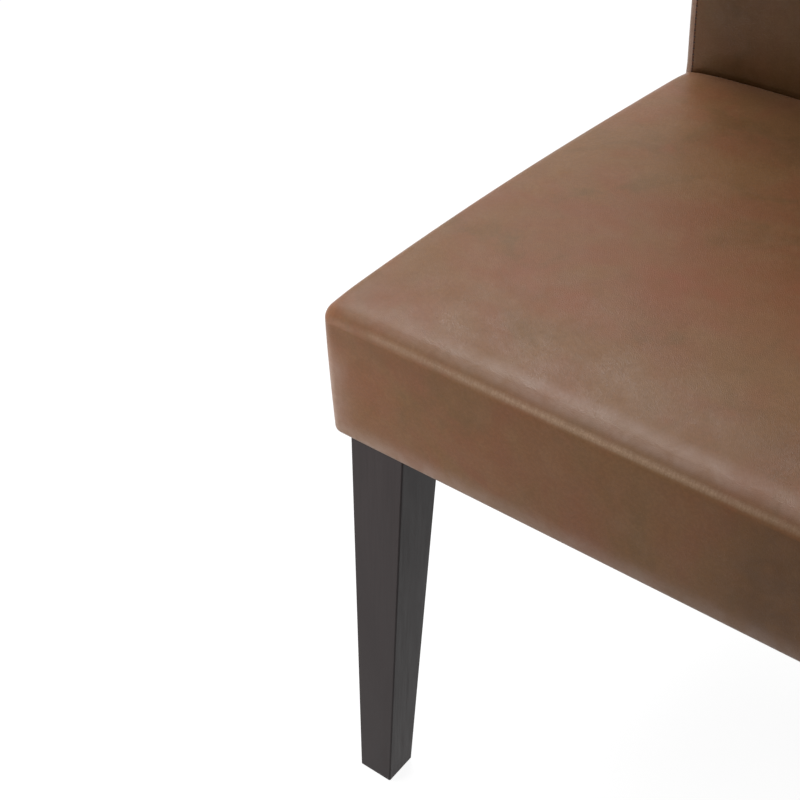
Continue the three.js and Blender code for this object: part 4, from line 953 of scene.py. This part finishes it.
def cloth_finish(name, dark, pale, pitch, depth, roughness=0.9):
    def feeds(bench):
        threads = placed_effect(bench, CLOTH, Dark_tone=dark, Pale_tone=pale, Pitch=pitch)
        return {
            "Base Color": threads["Color"], "Roughness": roughness,
            "Normal": bench.bump(threads["Height"], depth), "Specular IOR Level": 0.25,
        }
    return finish(name, feeds)


LEATHER_SEAT = leather_finish("brown_leather")
# The front panel of the back: the seat's leather in darker tones, as painted shade
LEATHER_BACK_SHADED = leather_finish(
    "brown_leather_with_painted_shade", Tone=paint(106, 75, 46), Warm_tone=paint(110, 70, 45),
    Olive_tone=paint(92, 71, 41), Rubbed_tone=paint(116, 86, 62), Pore_tone=paint(66, 44, 28),
    Worn_tone=paint(140, 112, 92), Deep_tone=paint(82, 56, 28),
)
THREAD_BROWN = cloth_finish(
    "brown_thread", paint(88, 52, 40), paint(118, 76, 60), pitch=0.0006, depth=0.00004, roughness=0.75,
)
# Needle holes: a near black finish, as painted shade in the holes
HOLE_SHADE = speckled_finish("needle_hole_painted_shade", paint(34, 20, 15), paint(46, 28, 20), 0.85)
FINISHES = {
    "stained_wood": wood_finish(
        "espresso_stained_wood", paint(54, 47, 47), paint(63, 56, 56), pore_depth=0.45, roughness=0.46,
        gloss=0.15, depth=0.00002, edge_tone=paint(62, 55, 53), edge_width=0.0011,
    ),
    "bare_wood": wood_finish(
        "planed_bare_wood", paint(176, 140, 98), paint(205, 172, 128), pore_depth=0.6, roughness=0.62,
        gloss=0.3, depth=0.00004, edge_tone=paint(188, 154, 112), edge_width=0.0008,
    ),
    "leather": LEATHER_SEAT,
    "nylon": speckled_finish("moulded_nylon", paint(26, 25, 25), paint(38, 37, 36), 0.48),
    "zinc_steel": speckled_finish(
        "zinc_plate", paint(168, 170, 168), paint(200, 202, 198), 0.34, metallic=1.0, depth=0.00001,
    ),
    "spring_steel": speckled_finish(
        "oiled_spring_wire", paint(70, 70, 72), paint(112, 113, 115), 0.36, metallic=1.0, depth=0.00001,
    ),
    "felt": speckled_finish(
        "pressed_felt", paint(108, 106, 100), paint(150, 147, 140), 0.95, depth=0.0002, gloss=0.2,
    ),
    "webbing": cloth_finish(
        "jute_webbing", paint(120, 92, 58), paint(168, 138, 96), pitch=0.0026, depth=0.0002,
    ),
    "dust_cloth": cloth_finish(
        "cambric_dust_cloth", paint(26, 26, 28), paint(42, 42, 46), pitch=0.0014, depth=0.00008,
    ),
    "fibreboard": speckled_finish("brown_fibreboard", paint(104, 76, 50), paint(132, 98, 66), 0.7),
}


def coat(shape, material):
    shape.data.materials.clear()
    shape.data.materials.append(material)


CARRIED = {
    "stained_wood": ["front_leg_left", "front_leg_right", "rear_leg_left", "rear_leg_right"],
    "bare_wood": [
        "front_rail", "side_rail_left", "side_rail_right", "rear_rail", "front_corner_block_left",
        "front_corner_block_right", "rear_corner_block_left", "rear_corner_block_right", "crest_rail",
        "mid_rail", "lower_back_rail",
    ],
    "nylon": ["front_glide_left", "front_glide_right", "rear_glide_left", "rear_glide_right"],
    "fibreboard": ["back_board"],
}


def coat_frame():
    """Gives the carried nodes their finishes: screws are zinc plated, springs and clips oiled steel."""
    finish_of = {node: slot for slot, nodes in CARRIED.items() for node in nodes}
    for name, shape in NODES.items():
        plain = "zinc_steel" if "screw" in name else "spring_steel"
        coat(shape, FINISHES[finish_of.get(name, plain)])


# Wear and toning kept on each point of a cover: rubbed pale with painted highlight, painted sheen,
# painted shade or rust

def keep_toning(shape, **marks):
    points = form_points(shape)
    for name, share_of in marks.items():
        layer = shape.data.attributes.new(name, "FLOAT", "POINT")
        layer.data.foreach_set("value", np.clip(share_of(points), 0, 1).astype(np.float32))


def seat_depth_in(points):
    """How far each point lies inside the seat's plan."""
    tree = tree_of(seat_outline(0.0, 0.0))
    return np.array([tree.find((x, y, 0.0))[2] for x, y, _ in points])


def edge_turn(points):
    """Degrees round the top edge, from 0 on the wall to 90 on the top."""
    x, y, z = points.T
    reach = SEAT_TOP_RADIUS + crown_at(x, np.maximum(y, 0)) - corner_drop(x, y)
    return np.degrees(np.arcsin(np.clip((z - WALL_TOP) / reach, 0, 1)))


# Toning of the seat, in millimetres of the form or in degrees round its top edge. A pair is where
# a share starts and where it is full, and for a hump its middle and its width.
# The wear constants place a rubbed edge with a painted highlight, which grows towards the middle
WEAR_HIGHLIGHT_HUMP = (30.0, 11.0)
WEAR_HIGHLIGHT_FROM_FRONT = 26.0
WEAR_HIGHLIGHT_PAST_CORNER = (30.0, 52.0)
HIGHLIGHT_TO_MIDDLE = (50.0, 230.0)
SIDE_WEAR_HIGHLIGHT = 0.1
TO_MIDDLE = (60.0, 220.0)
# The band, edge, rim, top turn, corner and roll values place the painted sheen
BAND_HUMP = (66.0, 18.0)
BAND_PAST_CORNER = (6.0, 40.0)
BEHIND_EDGE_HUMP = (20.0, 26.0)
RIM_HUMP = (12.0, 12.0)
ON_TOP_TURN = (60.0, 89.0)
CORNER_SHEEN_WIDTH = 18.0
ROLL_HUMP = (RAIL_BOTTOM - 1, 10.0)
# The below-edge hump places painted shade just under the rubbed line
BELOW_EDGE_HUMP = (WALL_TOP - 5, 12.0)
# Patches: places across and along, half widths and strengths; front and top shade patches are painted
# shade, warm ones rust
FRONT_SHADE_PATCHES = [(122.0, 412.0, 40.0, 70.0, 1.6)]
TOP_SHADE_PATCHES = [(-84.0, 368.0, 42.0, 30.0, 0.45), (92.0, 42.0, 42.0, 24.0, 0.5)]
WARM_PATCHES = [
    (-110.0, 95.0, 55.0, 26.0, 0.55),
    (-45.0, 160.0, 60.0, 30.0, 0.6),
    (30.0, 190.0, 55.0, 35.0, 0.5),
]
# Toning of the back, in millimetres from its outline and from its front: painted shade on the front,
# painted sheen on the strip
BACK_SHADE_START = (14.0, 42.0)
BACK_SHADE_HUMP = (48.0, 22.0)
STRIP_SHEEN_HUMP = (2.6, 6.0)


def patch_share(across, along, patches):
    """The strongest of some patches at each point."""
    share = np.zeros(len(across))
    for x, y, wide, deep, strength in patches:
        share = np.maximum(share, strength * hump(across, x, wide) * hump(along, y, deep))
    return share


def seat_wear(points):
    """Rubbed pale with a painted highlight where the rounded top edge turns into the wall, most along
    the front.
    """
    x, y, _ = points.T
    inward = SEAT_HALF - np.abs(x)
    past_corner = 0.08 + 0.92 * rise(inward, *WEAR_HIGHLIGHT_PAST_CORNER)
    highlight_towards_middle = 0.42 + 0.72 * rise(inward, *HIGHLIGHT_TO_MIDDLE)
    front = rise(WEAR_HIGHLIGHT_FROM_FRONT - y, 4, 20) * past_corner * highlight_towards_middle
    return hump(edge_turn(points), *WEAR_HIGHLIGHT_HUMP) * np.maximum(front, SIDE_WEAR_HIGHLIGHT * (y > 20))


def seat_bloom(points):
    """Painted sheen: greyed behind the front edge and along it, up the corners and along the bottom
    roll.
    """
    x, y, z = points.T
    turn, inward, below_top = edge_turn(points), SEAT_HALF - np.abs(x), WALL_TOP + 2 - z
    behind_edge = 0.17 * hump(y, *BEHIND_EDGE_HUMP) + 0.1 * hump(seat_depth_in(points), *RIM_HUMP)
    corner = hump(np.hypot(inward, y), 0, CORNER_SHEEN_WIDTH) * rise(below_top, 8, 40)
    roll = 0.7 * hump(z, *ROLL_HUMP) * rise(below_top, 2, 14)
    along_front = 0.38 + 0.26 * rise(inward, *TO_MIDDLE)
    past_corner = 0.25 + 0.75 * rise(inward, *BAND_PAST_CORNER)
    band = along_front * past_corner * hump(turn, *BAND_HUMP) * rise(24 - y, 0, 12)
    return behind_edge * rise(turn, *ON_TOP_TURN) + np.maximum(corner, roll) + band


def seat_painted_shade(points):
    """Painted shade just below the rubbed line, and in a few patches on the front and the top."""
    x, y, z = points.T
    below_edge = 0.4 * (1 - rise(SEAT_HALF - np.abs(x), *TO_MIDDLE)) * hump(z, *BELOW_EDGE_HUMP)
    front = patch_share(x, z, FRONT_SHADE_PATCHES) * rise(60 - y, 0, 40)
    return (below_edge + front) * (z < WALL_TOP) + patch_share(x, y, TOP_SHADE_PATCHES) * (z > ON_TOP)


def seat_warmth(points):
    """Rust patches on the top."""
    x, y, z = points.T
    return patch_share(x, y, WARM_PATCHES) * (z > ON_TOP)


def back_painted_shade(points):
    """Painted shade over the front of the back, most a little way in from its seam."""
    x, _, z = points.T
    inward = np.minimum(back_half(z) - np.abs(x), BACK_TOP - z)
    return 0.5 * rise(inward, *BACK_SHADE_START) + 0.4 * hump(inward, *BACK_SHADE_HUMP)


def strip_bloom(points):
    """Painted sheen where the strip turns over the front edge of the back."""
    _, y, z = points.T
    return 0.78 * hump(y - back_front(z), *STRIP_SHEEN_HUMP)


# Dressing a piece for the frame

def dress(shape, slot, *nodes, material=None):
    """Ties a piece to the frame, gives it its finish and hides the nodes that it stands for."""
    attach(shape, "root")
    coat(shape, material or FINISHES[slot])
    if nodes:
        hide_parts(*nodes)


def seat_cuts():
    """Blocks that open the seat cover for the legs, over the rear rail and at the rear hem."""
    legs = []
    for side in (-1, 1):
        low, high = sorted((side * (LEG_OUTER + GAP), side * (LEG_INNER - GAP)))
        legs.append(((low, LEG_FRONT - GAP, 0.0), (high, LEG_REAR + GAP, RAIL_BOTTOM + CUT_PAST)))
    inside = SEAT_REAR_HALF - SEAT_TUCK - LEATHER - GAP
    behind, beneath = SEAT_DEPTH + CUT_PAST, SEAT_BOTTOM - CUT_PAST
    window_front, window_top = SEAT_DEPTH - SEAT_ROLL - CUT_PAST, SEAT_HEIGHT - SEAT_REAR_FLAP
    window = ((-inside, window_front, beneath), (inside, behind, window_top))
    hem_half, hem_front = inside - SEAT_HEM, SEAT_DEPTH - SEAT_HEM * 2
    hem = ((-hem_half, hem_front, beneath), (hem_half, behind, RAIL_BOTTOM + CUT_PAST))
    return legs + [window, hem]


def make_seat():
    cover = seat_body("seat_leather", closed_below=False)
    settle(cover, seat_body("seat_pad", closed_below=True), seat_held, seat_share)
    thicken(cover, LEATHER)
    cut_away(cover, seat_cuts())
    smooth_by_angle(cover)
    keep_toning(cover, wear=seat_wear, bloom=seat_bloom, shade=seat_painted_shade, warmth=seat_warmth)
    dress(cover, "leather", "seat_cover", "seat_foam", "front_pad", "side_pad_left", "side_pad_right")


def make_back():
    """The front panel, the rear panel and the strip between them."""
    bottom, inset = SEAT_HEIGHT - BACK_TUCK_DEPTH, FRONT_SEAM_INSET + GAP
    front = back_panel("back_front_leather", bottom, inset, True)
    face_to(front, Vector((0, -1, 0)))
    settle(front, back_pad(bottom, inset), back_held, back_share_held)
    thicken(front, LEATHER)
    smooth_by_angle(front)
    keep_toning(front, shade=back_painted_shade)
    dress(front, "leather", "back_front_panel", "back_foam", material=LEATHER_BACK_SHADED)

    rear = back_panel("back_rear_leather", SEAT_BOTTOM, REAR_SEAM_INSET + GAP, False)
    face_to(rear, Vector((0, 1, 0)))
    thicken(rear, LEATHER)
    smooth_by_angle(rear)
    dress(rear, "leather", "back_rear_panel")

    strip = side_strip()
    left_of_legs = -0.15
    face_to(strip, Vector((-1, 0, 0)), lambda face: face.center.x < left_of_legs)
    thicken(strip, LEATHER)
    smooth_by_angle(strip)
    keep_toning(strip, bloom=strip_bloom)
    dress(strip, "leather", "back_boxing")


# Webbing, felt and dust cover

STAPLE_WIDTH = 1.1
STAPLE_PITCH = 36.0
STAPLE_INSET = 4.5
STAPLE_CLEAR = 8.0
FRONT_STAPLE_HALF = 150.0
STRAP_STAPLE_INSET = 9.0
STRAP_STAPLE_SHARES = (0.2, 0.5, 0.8)
# Half of a staple's wire, outer and inner side: distance along its crown and height over the cloth
STAPLE_WIRE = [((4.4, 0.55), (4.2, 0.05)), ((5.0, 0.2), (4.5, -0.1)), ((5.0, -1.2), (4.5, -1.2))]
DUST_FRONT = 18.5
DUST_REAR = 492.5
DUST_HALF = 212.8
DUST_CORNERS = [
    (165.3, DUST_FRONT), (165.3, 54.8), (DUST_HALF, 54.8),
    (183.9, 479.0), (159.3, 479.0), (159.3, DUST_REAR),
]
DUST_LEVEL = 374.9
DUST_THICKNESS = 0.6
DUST_SAG = 1.4
DUST_PUCKER = 0.35
PUCKER_REACH = 8.0
DUST_RIM_STEP = 6.0
DUST_GRID_STEP = 9.0
DUST_GRID_CLEAR = 4.5
DUST_GRID = (np.arange(-207, 208, DUST_GRID_STEP), np.arange(24, 490, DUST_GRID_STEP))
FELT_THICKNESS = 2.2
FELT_SAG = 0.8
FELT_LIFT = 0.1
FELT_ROUGHNESS = 0.06
STRAP_NUMBERS = (1, 2, 3)
STRAP_THICKNESS = 1.1
STRAP_FOLD = 26.0
FOLD_THICKER = 1.7
FOLD_END = 1.5
STRAP_BOW = 1.4
SELVEDGE = 0.25
SELVEDGE_ROUND = 0.4


def strap_rear(z):
    """The rear face of the webbing, flat on the posts."""
    t = back_share(z)
    return back_front(z) + POST_FRONT_STACK + BACK_FOAM + (BACK_TOP_FOAM - BACK_FOAM) * t - GAP


def strap(number):
    """Webbing from post to post, folded double at its ends, with thick selvedges."""
    node = f"back_strap_{number}"
    low, high = box_of(node)
    fold = low.x + STRAP_FOLD
    folded_rows, plain_rows = np.linspace(low.x + 2, fold, 9), np.linspace(fold + FOLD_END, 0, 34)
    along = np.concatenate([[low.x], folded_rows, plain_rows])
    along = np.concatenate([along, -along[:-1][::-1]])
    across = np.concatenate([[0, 0.02, 0.06], np.linspace(0.09, 0.91, 13), [0.94, 0.98, 1]])
    selvedge = SELVEDGE * (hump(across, 0.035, 0.03) + hump(across, 0.965, 0.03))
    selvedge = selvedge - SELVEDGE_ROUND * ((across < 0.005) | (across > 0.995))
    z = low.z + (high.z - low.z) * across
    faces_of = []
    for side in (1, 0):
        rows = []
        for x in along:
            folded = abs(x) > high.x - STRAP_FOLD - 0.01
            bow = 0.0 if folded else STRAP_BOW * (1 - (x / (high.x - STRAP_FOLD)) ** 2)
            thick = STRAP_THICKNESS * (FOLD_THICKER if folded else 1.0) + selvedge
            y = strap_rear(z) + bow - thick * side
            rows.append(np.stack([np.full(z.shape, x), y, z], 1))
        faces_of.append(np.array(rows))
    front, rear = faces_of
    rings = np.concatenate([front, rear[:, ::-1]], axis=1)
    faces = tube_faces(len(along), rings.shape[1])
    last = (len(along) - 1) * rings.shape[1]
    count = len(across)
    for base, turn in ((0, 1), (last, -1)):
        for k in range(count - 1):
            quad = (base + k, base + k + 1, base + 2 * count - 2 - k, base + 2 * count - 1 - k)
            faces.append(quad[::turn])
    made = add_body(f"back_webbing_{number}", rings, faces)
    dress(made, "webbing", node)


def felt_pad():
    """Felt laid over the springs, sunk a little between them."""
    low, high = box_of("spring_felt")
    pitch = (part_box("seat_spring_2")[0].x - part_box("seat_spring_1")[0].x) / MM
    xs, ys = np.linspace(low.x, high.x, 81), np.linspace(low.y, high.y, 61) - ORIGIN_Y
    x, y = np.meshgrid(xs, ys)
    rough = np.sin(x * 0.61 + 1.3 * np.sin(y * 0.23)) * np.sin(y * 0.47 + 0.9 * np.sin(x * 0.19))
    sunk = FELT_SAG * (0.5 + 0.5 * np.cos(2 * math.pi * x / pitch))
    z = low.z + FELT_THICKNESS - sunk + FELT_ROUGHNESS * rough + FELT_LIFT
    made = add_object("spring_felt_sheet", np.stack([x, y, z], 2), tube_faces(*x.shape, closed=False))
    face_to(made, Vector((0, 0, 1)))
    thicken(made, FELT_THICKNESS)
    smooth_by_angle(made)
    dress(made, "felt", "spring_felt")


def along_outline(corners, step):
    """Points along a closed outline that keep its corners."""
    points = []
    for start, end in zip(corners, corners[1:] + corners[:1]):
        start, end = np.array(start), np.array(end)
        count = max(1, round(np.linalg.norm(end - start) / step))
        points += [start + (end - start) * k / count for k in range(count)]
    return np.array(points)


def inside_outline(points, corners):
    """Which points lie inside a closed outline."""
    inside = np.zeros(len(points), bool)
    x, y = points.T
    for (x1, y1), (x2, y2) in zip(corners, corners[1:] + corners[:1]):
        if y1 != y2:
            inside ^= ((y1 > y) != (y2 > y)) & (x < x1 + (x2 - x1) * (y - y1) / (y2 - y1))
    return inside


def dust_sheet():
    """Cambric stapled under the rails, puckered between the staples and sagging in the middle."""
    corners = DUST_CORNERS + [(-x, y) for x, y in reversed(DUST_CORNERS)]
    rim = along_outline(corners, DUST_RIM_STEP)
    tree = tree_of(rim)
    grid = np.stack(np.meshgrid(*DUST_GRID), 2).reshape(-1, 2)
    grid = grid[inside_outline(grid, corners)]
    grid = grid[[tree.find((x, y, 0.0))[2] > DUST_GRID_CLEAR for x, y in grid]]
    edges = [(k, (k + 1) % len(rim)) for k in range(len(rim))]
    points = [Vector(p) for p in np.concatenate([rim, grid]).tolist()]
    found = delaunay_2d_cdt(points, edges, [], 1, 0.01)
    flat = np.array([p[:] for p in found[0]])
    _, index, distance = zip(*(tree.find((x, y, 0.0)) for x, y in flat))
    run = np.array(index) * DUST_RIM_STEP
    middle, reach = (DUST_REAR + DUST_FRONT) / 2, (DUST_REAR - DUST_FRONT) / 2
    sag = (1 - (flat[:, 0] / DUST_HALF) ** 2) * (1 - ((flat[:, 1] - middle) / reach) ** 2)
    pucker = 0.5 - 0.5 * np.cos(2 * math.pi * run / STAPLE_PITCH)
    pucker = np.exp(-np.array(distance) / PUCKER_REACH) * pucker
    z = DUST_LEVEL - DUST_THICKNESS - DUST_SAG * np.clip(sag, 0, 1) - DUST_PUCKER * pucker
    made = add_object("dust_cover_cloth", np.column_stack([flat, z]), [tuple(f) for f in found[2]])
    face_to(made, Vector((0, 0, -1)))
    thicken(made, DUST_THICKNESS)
    smooth_by_angle(made)
    dress(made, "dust_cloth", "dust_cover")


def wire_staple(points, faces, middle, along, up):
    """Adds one staple: a flat wire crown across a cloth, with its ends bent in."""
    across = np.cross(along, up)
    left = [((-x, h), (-inner_x, inner_h)) for (x, h), (inner_x, inner_h) in reversed(STAPLE_WIRE)]
    rings = []
    for outer, inner in left + STAPLE_WIRE:
        corners = ((*outer, -1), (*outer, 1), (*inner, 1), (*inner, -1))
        rings.append([
            middle + along * x + up * height + across * side * STAPLE_WIDTH / 2
            for x, height, side in corners
        ])
    add_tube(points, faces, rings)


def staples():
    """Staples round the dust cover and at the ends of the webbing."""
    points, faces = [], []
    front_x, (side_x, side_y), (rear_x, rear_y) = FRONT_STAPLE_HALF, DUST_CORNERS[2], DUST_CORNERS[3]
    side_y, rear_y = side_y + STAPLE_CLEAR, rear_y - STAPLE_CLEAR
    lines = [
        ((-front_x, DUST_FRONT), (front_x, DUST_FRONT), (0, 1)),
        ((-front_x, DUST_REAR), (front_x, DUST_REAR), (0, -1)),
        ((-side_x, side_y), (-rear_x, rear_y), (1, 0)),
        ((side_x, side_y), (rear_x, rear_y), (-1, 0)),
    ]
    down = np.array([0.0, 0.0, -1.0])
    for start, end, inward in np.array(lines, float):
        length = np.linalg.norm(end - start)
        count = round(length / STAPLE_PITCH)
        along = np.append((end - start) / length, 0.0)
        for k in range(count + 1):
            x, y = start + (end - start) * k / count + inward * STAPLE_INSET
            wire_staple(points, faces, np.array([x, y, DUST_LEVEL - DUST_THICKNESS]), along, down)
    for number in STRAP_NUMBERS:
        low, high = box_of(f"back_strap_{number}")
        for share in STRAP_STAPLE_SHARES:
            z = low.z + (high.z - low.z) * share
            lean = float(strap_rear(z + 1) - strap_rear(z))
            up = np.array([0.0, -1.0, lean]) / math.hypot(1, lean)
            along = np.cross(up, [1.0, 0.0, 0.0])
            along /= np.linalg.norm(along)
            y = float(strap_rear(z)) - STRAP_THICKNESS * FOLD_THICKER
            for x in (low.x + STRAP_STAPLE_INSET, high.x - STRAP_STAPLE_INSET):
                wire_staple(points, faces, np.array([x, y, z]), along, up)
    dress(add_body("staples", points, faces), "zinc_steel")


# Stitching

THREAD_RADIUS = 0.42
STITCH_PITCH = 5.2
STITCH_LENGTH = 3.5
STITCH_INSET = 1.0
STITCH_ARCH = 0.55
STITCH_SUNK = 0.35
STITCH_SMOOTH = 60.0
FRONT_SEAM_START = SEAT_HEIGHT - 5.0
REAR_SEAM_START = SEAT_BOTTOM + 4.0
TILT_STEP = 0.4
# Rings of a needle hole: radius and height over the leather
HOLE_RINGS = ((1.0, -0.25), (0.85, 0.12), (0.3, 0.02))
HOLE_SIDES = 8


def seam_path(front):
    """A path beside the seam on the panel, and the outward directions of the face along it."""
    seam = FRONT_SEAM_INSET if front else REAR_SEAM_INSET
    inset, radius = seam + STITCH_INSET, BACK_CORNER_RADIUS - seam - STITCH_INSET
    levels = np.linspace(FRONT_SEAM_START if front else REAR_SEAM_START, ARC_BASE, 400)
    turns = np.linspace(0, math.pi / 2, 40)[1:]
    over = np.linspace(-ARC_CENTRE, 0, 200)[1:]
    x = np.concatenate([-inset_half(levels, inset), -ARC_CENTRE - radius * np.cos(turns), over])
    level_top = np.full(over.shape, BACK_TOP - inset)
    z = np.concatenate([levels, ARC_BASE + radius * np.sin(turns), level_top])
    x, z = np.append(x, -x[-2::-1]), np.append(z, z[-2::-1])
    bottom = SEAT_HEIGHT - BACK_TUCK_DEPTH if front else SEAT_BOTTOM
    lift = (z - bottom) / (BACK_TOP - seam - GAP - bottom)
    right, left = (face_point(x + step, z, lift, front) for step in (TILT_STEP, -TILT_STEP))
    above, below = (face_point(x, z + step, lift, front) for step in (TILT_STEP, -TILT_STEP))
    outward = np.cross(right - left, above - below) * (1.0 if front else -1.0)
    return face_point(x, z, lift, front), outward / np.linalg.norm(outward, axis=1, keepdims=True)


def path_run(path):
    """How far along its path each point lies."""
    return np.concatenate([[0], np.cumsum(np.linalg.norm(np.diff(path, axis=0), axis=1))])


def along_path(run, values, places):
    """Values given along a path, read at other places on it."""
    return np.stack([np.interp(places, run, column) for column in values.T], 1)


def stitches(name, front):
    """Thread stitches that arch out of the leather and dive into it at both ends."""
    path, outward = seam_path(front)
    run = path_run(path)
    points, faces = [], []
    sides = rows = 7
    arch = STITCH_ARCH * np.cos(np.linspace(-1, 1, rows) * math.pi / 2) ** 0.6 - STITCH_SUNK
    thick = THREAD_RADIUS * np.sqrt(1 - np.linspace(-0.92, 0.92, rows) ** 6)
    for k in range(int(run[-1] / STITCH_PITCH)):
        places = (k + 0.5) * STITCH_PITCH + np.linspace(-0.5, 0.5, rows) * STITCH_LENGTH
        normal = along_path(run, outward, places)
        centre = along_path(run, path, places) + normal * arch[:, None]
        forward = np.gradient(centre, axis=0)
        forward /= np.linalg.norm(forward, axis=1, keepdims=True)
        across = np.cross(forward, normal)
        across /= np.linalg.norm(across, axis=1, keepdims=True)
        rings = [ring_round(*row, sides) for row in zip(centre, thick, across, normal)]
        add_tube(points, faces, rings)
    dress(add_body(name, points, faces, STITCH_SMOOTH), "leather", material=THREAD_BROWN)


def needle_holes(name, front):
    """Small dark caps, painted shade for the pits where the thread goes through the leather."""
    path, outward = seam_path(front)
    run = path_run(path)
    places = np.arange(int(run[-1] / STITCH_PITCH) + 1) * STITCH_PITCH
    places = np.minimum(places, run[-1] - 0.01)
    points, faces = [], []
    for centre, normal in zip(along_path(run, path, places), along_path(run, outward, places)):
        side = np.cross(normal, [0.3, 0.1, 1.0])
        side /= np.linalg.norm(side)
        other = np.cross(normal, side)
        add_tube(points, faces, [
            ring_round(centre + normal * height, radius, side, other, HOLE_SIDES)
            for radius, height in HOLE_RINGS
        ])
    dress(add_body(name, points, faces, STITCH_SMOOTH), "leather", material=HOLE_SHADE)


make_seat()
make_back()
for number in STRAP_NUMBERS:
    strap(number)
felt_pad()
dust_sheet()
staples()
stitches("back_front_stitching", True)
stitches("back_rear_stitching", False)
needle_holes("back_front_needle_holes", True)
needle_holes("back_rear_needle_holes", False)
coat_frame()


# Studio: a white floor, a bright surround and six soft lamps

FLOOR_HALF = 6000.0
FLOOR_BOUNCE = 0.15
FLOOR_SHADE = 0.2
FLOOR_GLOW = 0.93
WORLD_FILL = 0.08
SEAT_MIDDLE = (-0.1, -0.1, 0.45)


def seen_directly(bench):
    """One for rays from the camera, from gloss and through glass."""
    path = bench.node("ShaderNodeLightPath").outputs
    either = bench.work("MAXIMUM", path["Is Camera Ray"], path["Is Glossy Ray"])
    return bench.work("MAXIMUM", either, path["Is Transmission Ray"])


def studio_floor():
    """A floor that looks nearly white but throws little light back on the chair."""
    half = FLOOR_HALF
    points = [(-half, -half, 0.0), (half, -half, 0.0), (half, half, 0.0), (-half, half, 0.0)]
    floor = add_object("studio_floor", points, [(0, 1, 2, 3)])
    made = bpy.data.materials.new("white_floor")
    bench = empty_bench(made)
    bounce, shade = (
        bench.node("ShaderNodeBsdfDiffuse", {"Color": (tone, tone, tone, 1)}).outputs[0]
        for tone in (FLOOR_BOUNCE, FLOOR_SHADE)
    )
    glow = bench.node("ShaderNodeEmission", {"Strength": FLOOR_GLOW}).outputs[0]
    seen = bench.node("ShaderNodeAddShader", {0: shade, 1: glow}).outputs[0]
    both = bench.node("ShaderNodeMixShader", {"Fac": seen_directly(bench), 1: bounce, 2: seen})
    bench.node("ShaderNodeOutputMaterial", {"Surface": both.outputs[0]})
    coat(floor, made)


def studio_world():
    """A surround that is white to the camera and dim to the chair."""
    world = bpy.data.worlds.new("studio")
    bpy.context.scene.world = world
    bench = empty_bench(world)
    strength = bench.reach(seen_directly(bench), 0.0, 1.0, WORLD_FILL, 1.0)
    sky = bench.node("ShaderNodeBackground", {"Color": (1, 1, 1, 1), "Strength": strength})
    bench.node("ShaderNodeOutputWorld", {"Surface": sky.outputs[0]})


def lamp(name, at, towards, size, watts):
    light = bpy.data.lights.new(name, "AREA")
    light.shape = "RECTANGLE"
    light.size, light.size_y = size
    light.energy = watts
    shape = bpy.data.objects.new(name, light)
    shape.location = at
    shape.rotation_euler = (Vector(towards) - Vector(at)).to_track_quat("-Z", "Y").to_euler()
    shape.visible_camera = False
    bpy.context.scene.collection.objects.link(shape)


studio_floor()
studio_world()
lamp("key_lamp", (-1.2, -0.35, 2.7), SEAT_MIDDLE, (0.38, 0.32), 5.8)
lamp("rear_lamp", (-0.95, 0.72, 1.98), (0.0, 0.0, 0.48), (0.7, 0.5), 18.2)
lamp("high_rear_lamp", (-0.5, 1.3, 2.4), (-0.1, 0.0, 0.48), (0.8, 0.5), 10.6)
lamp("corner_lamp", (-0.6, -0.72, 0.42), (-0.15, -0.25, 0.42), (0.4, 0.4), 2.85)
lamp("front_left_lamp", (-0.9, -1.2, 1.6), SEAT_MIDDLE, (0.6, 0.6), 3.9)
lamp("front_lamp", (0.0, -1.7, 1.2), (0.0, -0.2, 0.45), (0.8, 0.8), 1.75)


# Camera at the photograph's viewpoint, for a square picture
CAMERA_AT = (306.92, -626.84, 1077.69)
CAMERA_AZIMUTH = 36.94
CAMERA_ELEVATION = 39.35
FOCAL_PIXELS = 1524.61
PICTURE_PIXELS = 800
SENSOR = 36.0

lens = bpy.data.cameras.new("camera")
lens.sensor_width = SENSOR
lens.lens = FOCAL_PIXELS * SENSOR / PICTURE_PIXELS
lens.clip_start = 0.05
lens.clip_end = 60
camera = bpy.data.objects.new("camera", lens)
camera.location = placed([CAMERA_AT])[0].tolist()
camera.rotation_euler = (math.radians(90 - CAMERA_ELEVATION), 0, math.radians(CAMERA_AZIMUTH))
bpy.context.scene.collection.objects.link(camera)
bpy.context.scene.camera = camera

bpy.context.scene.view_settings.view_transform = "Standard"
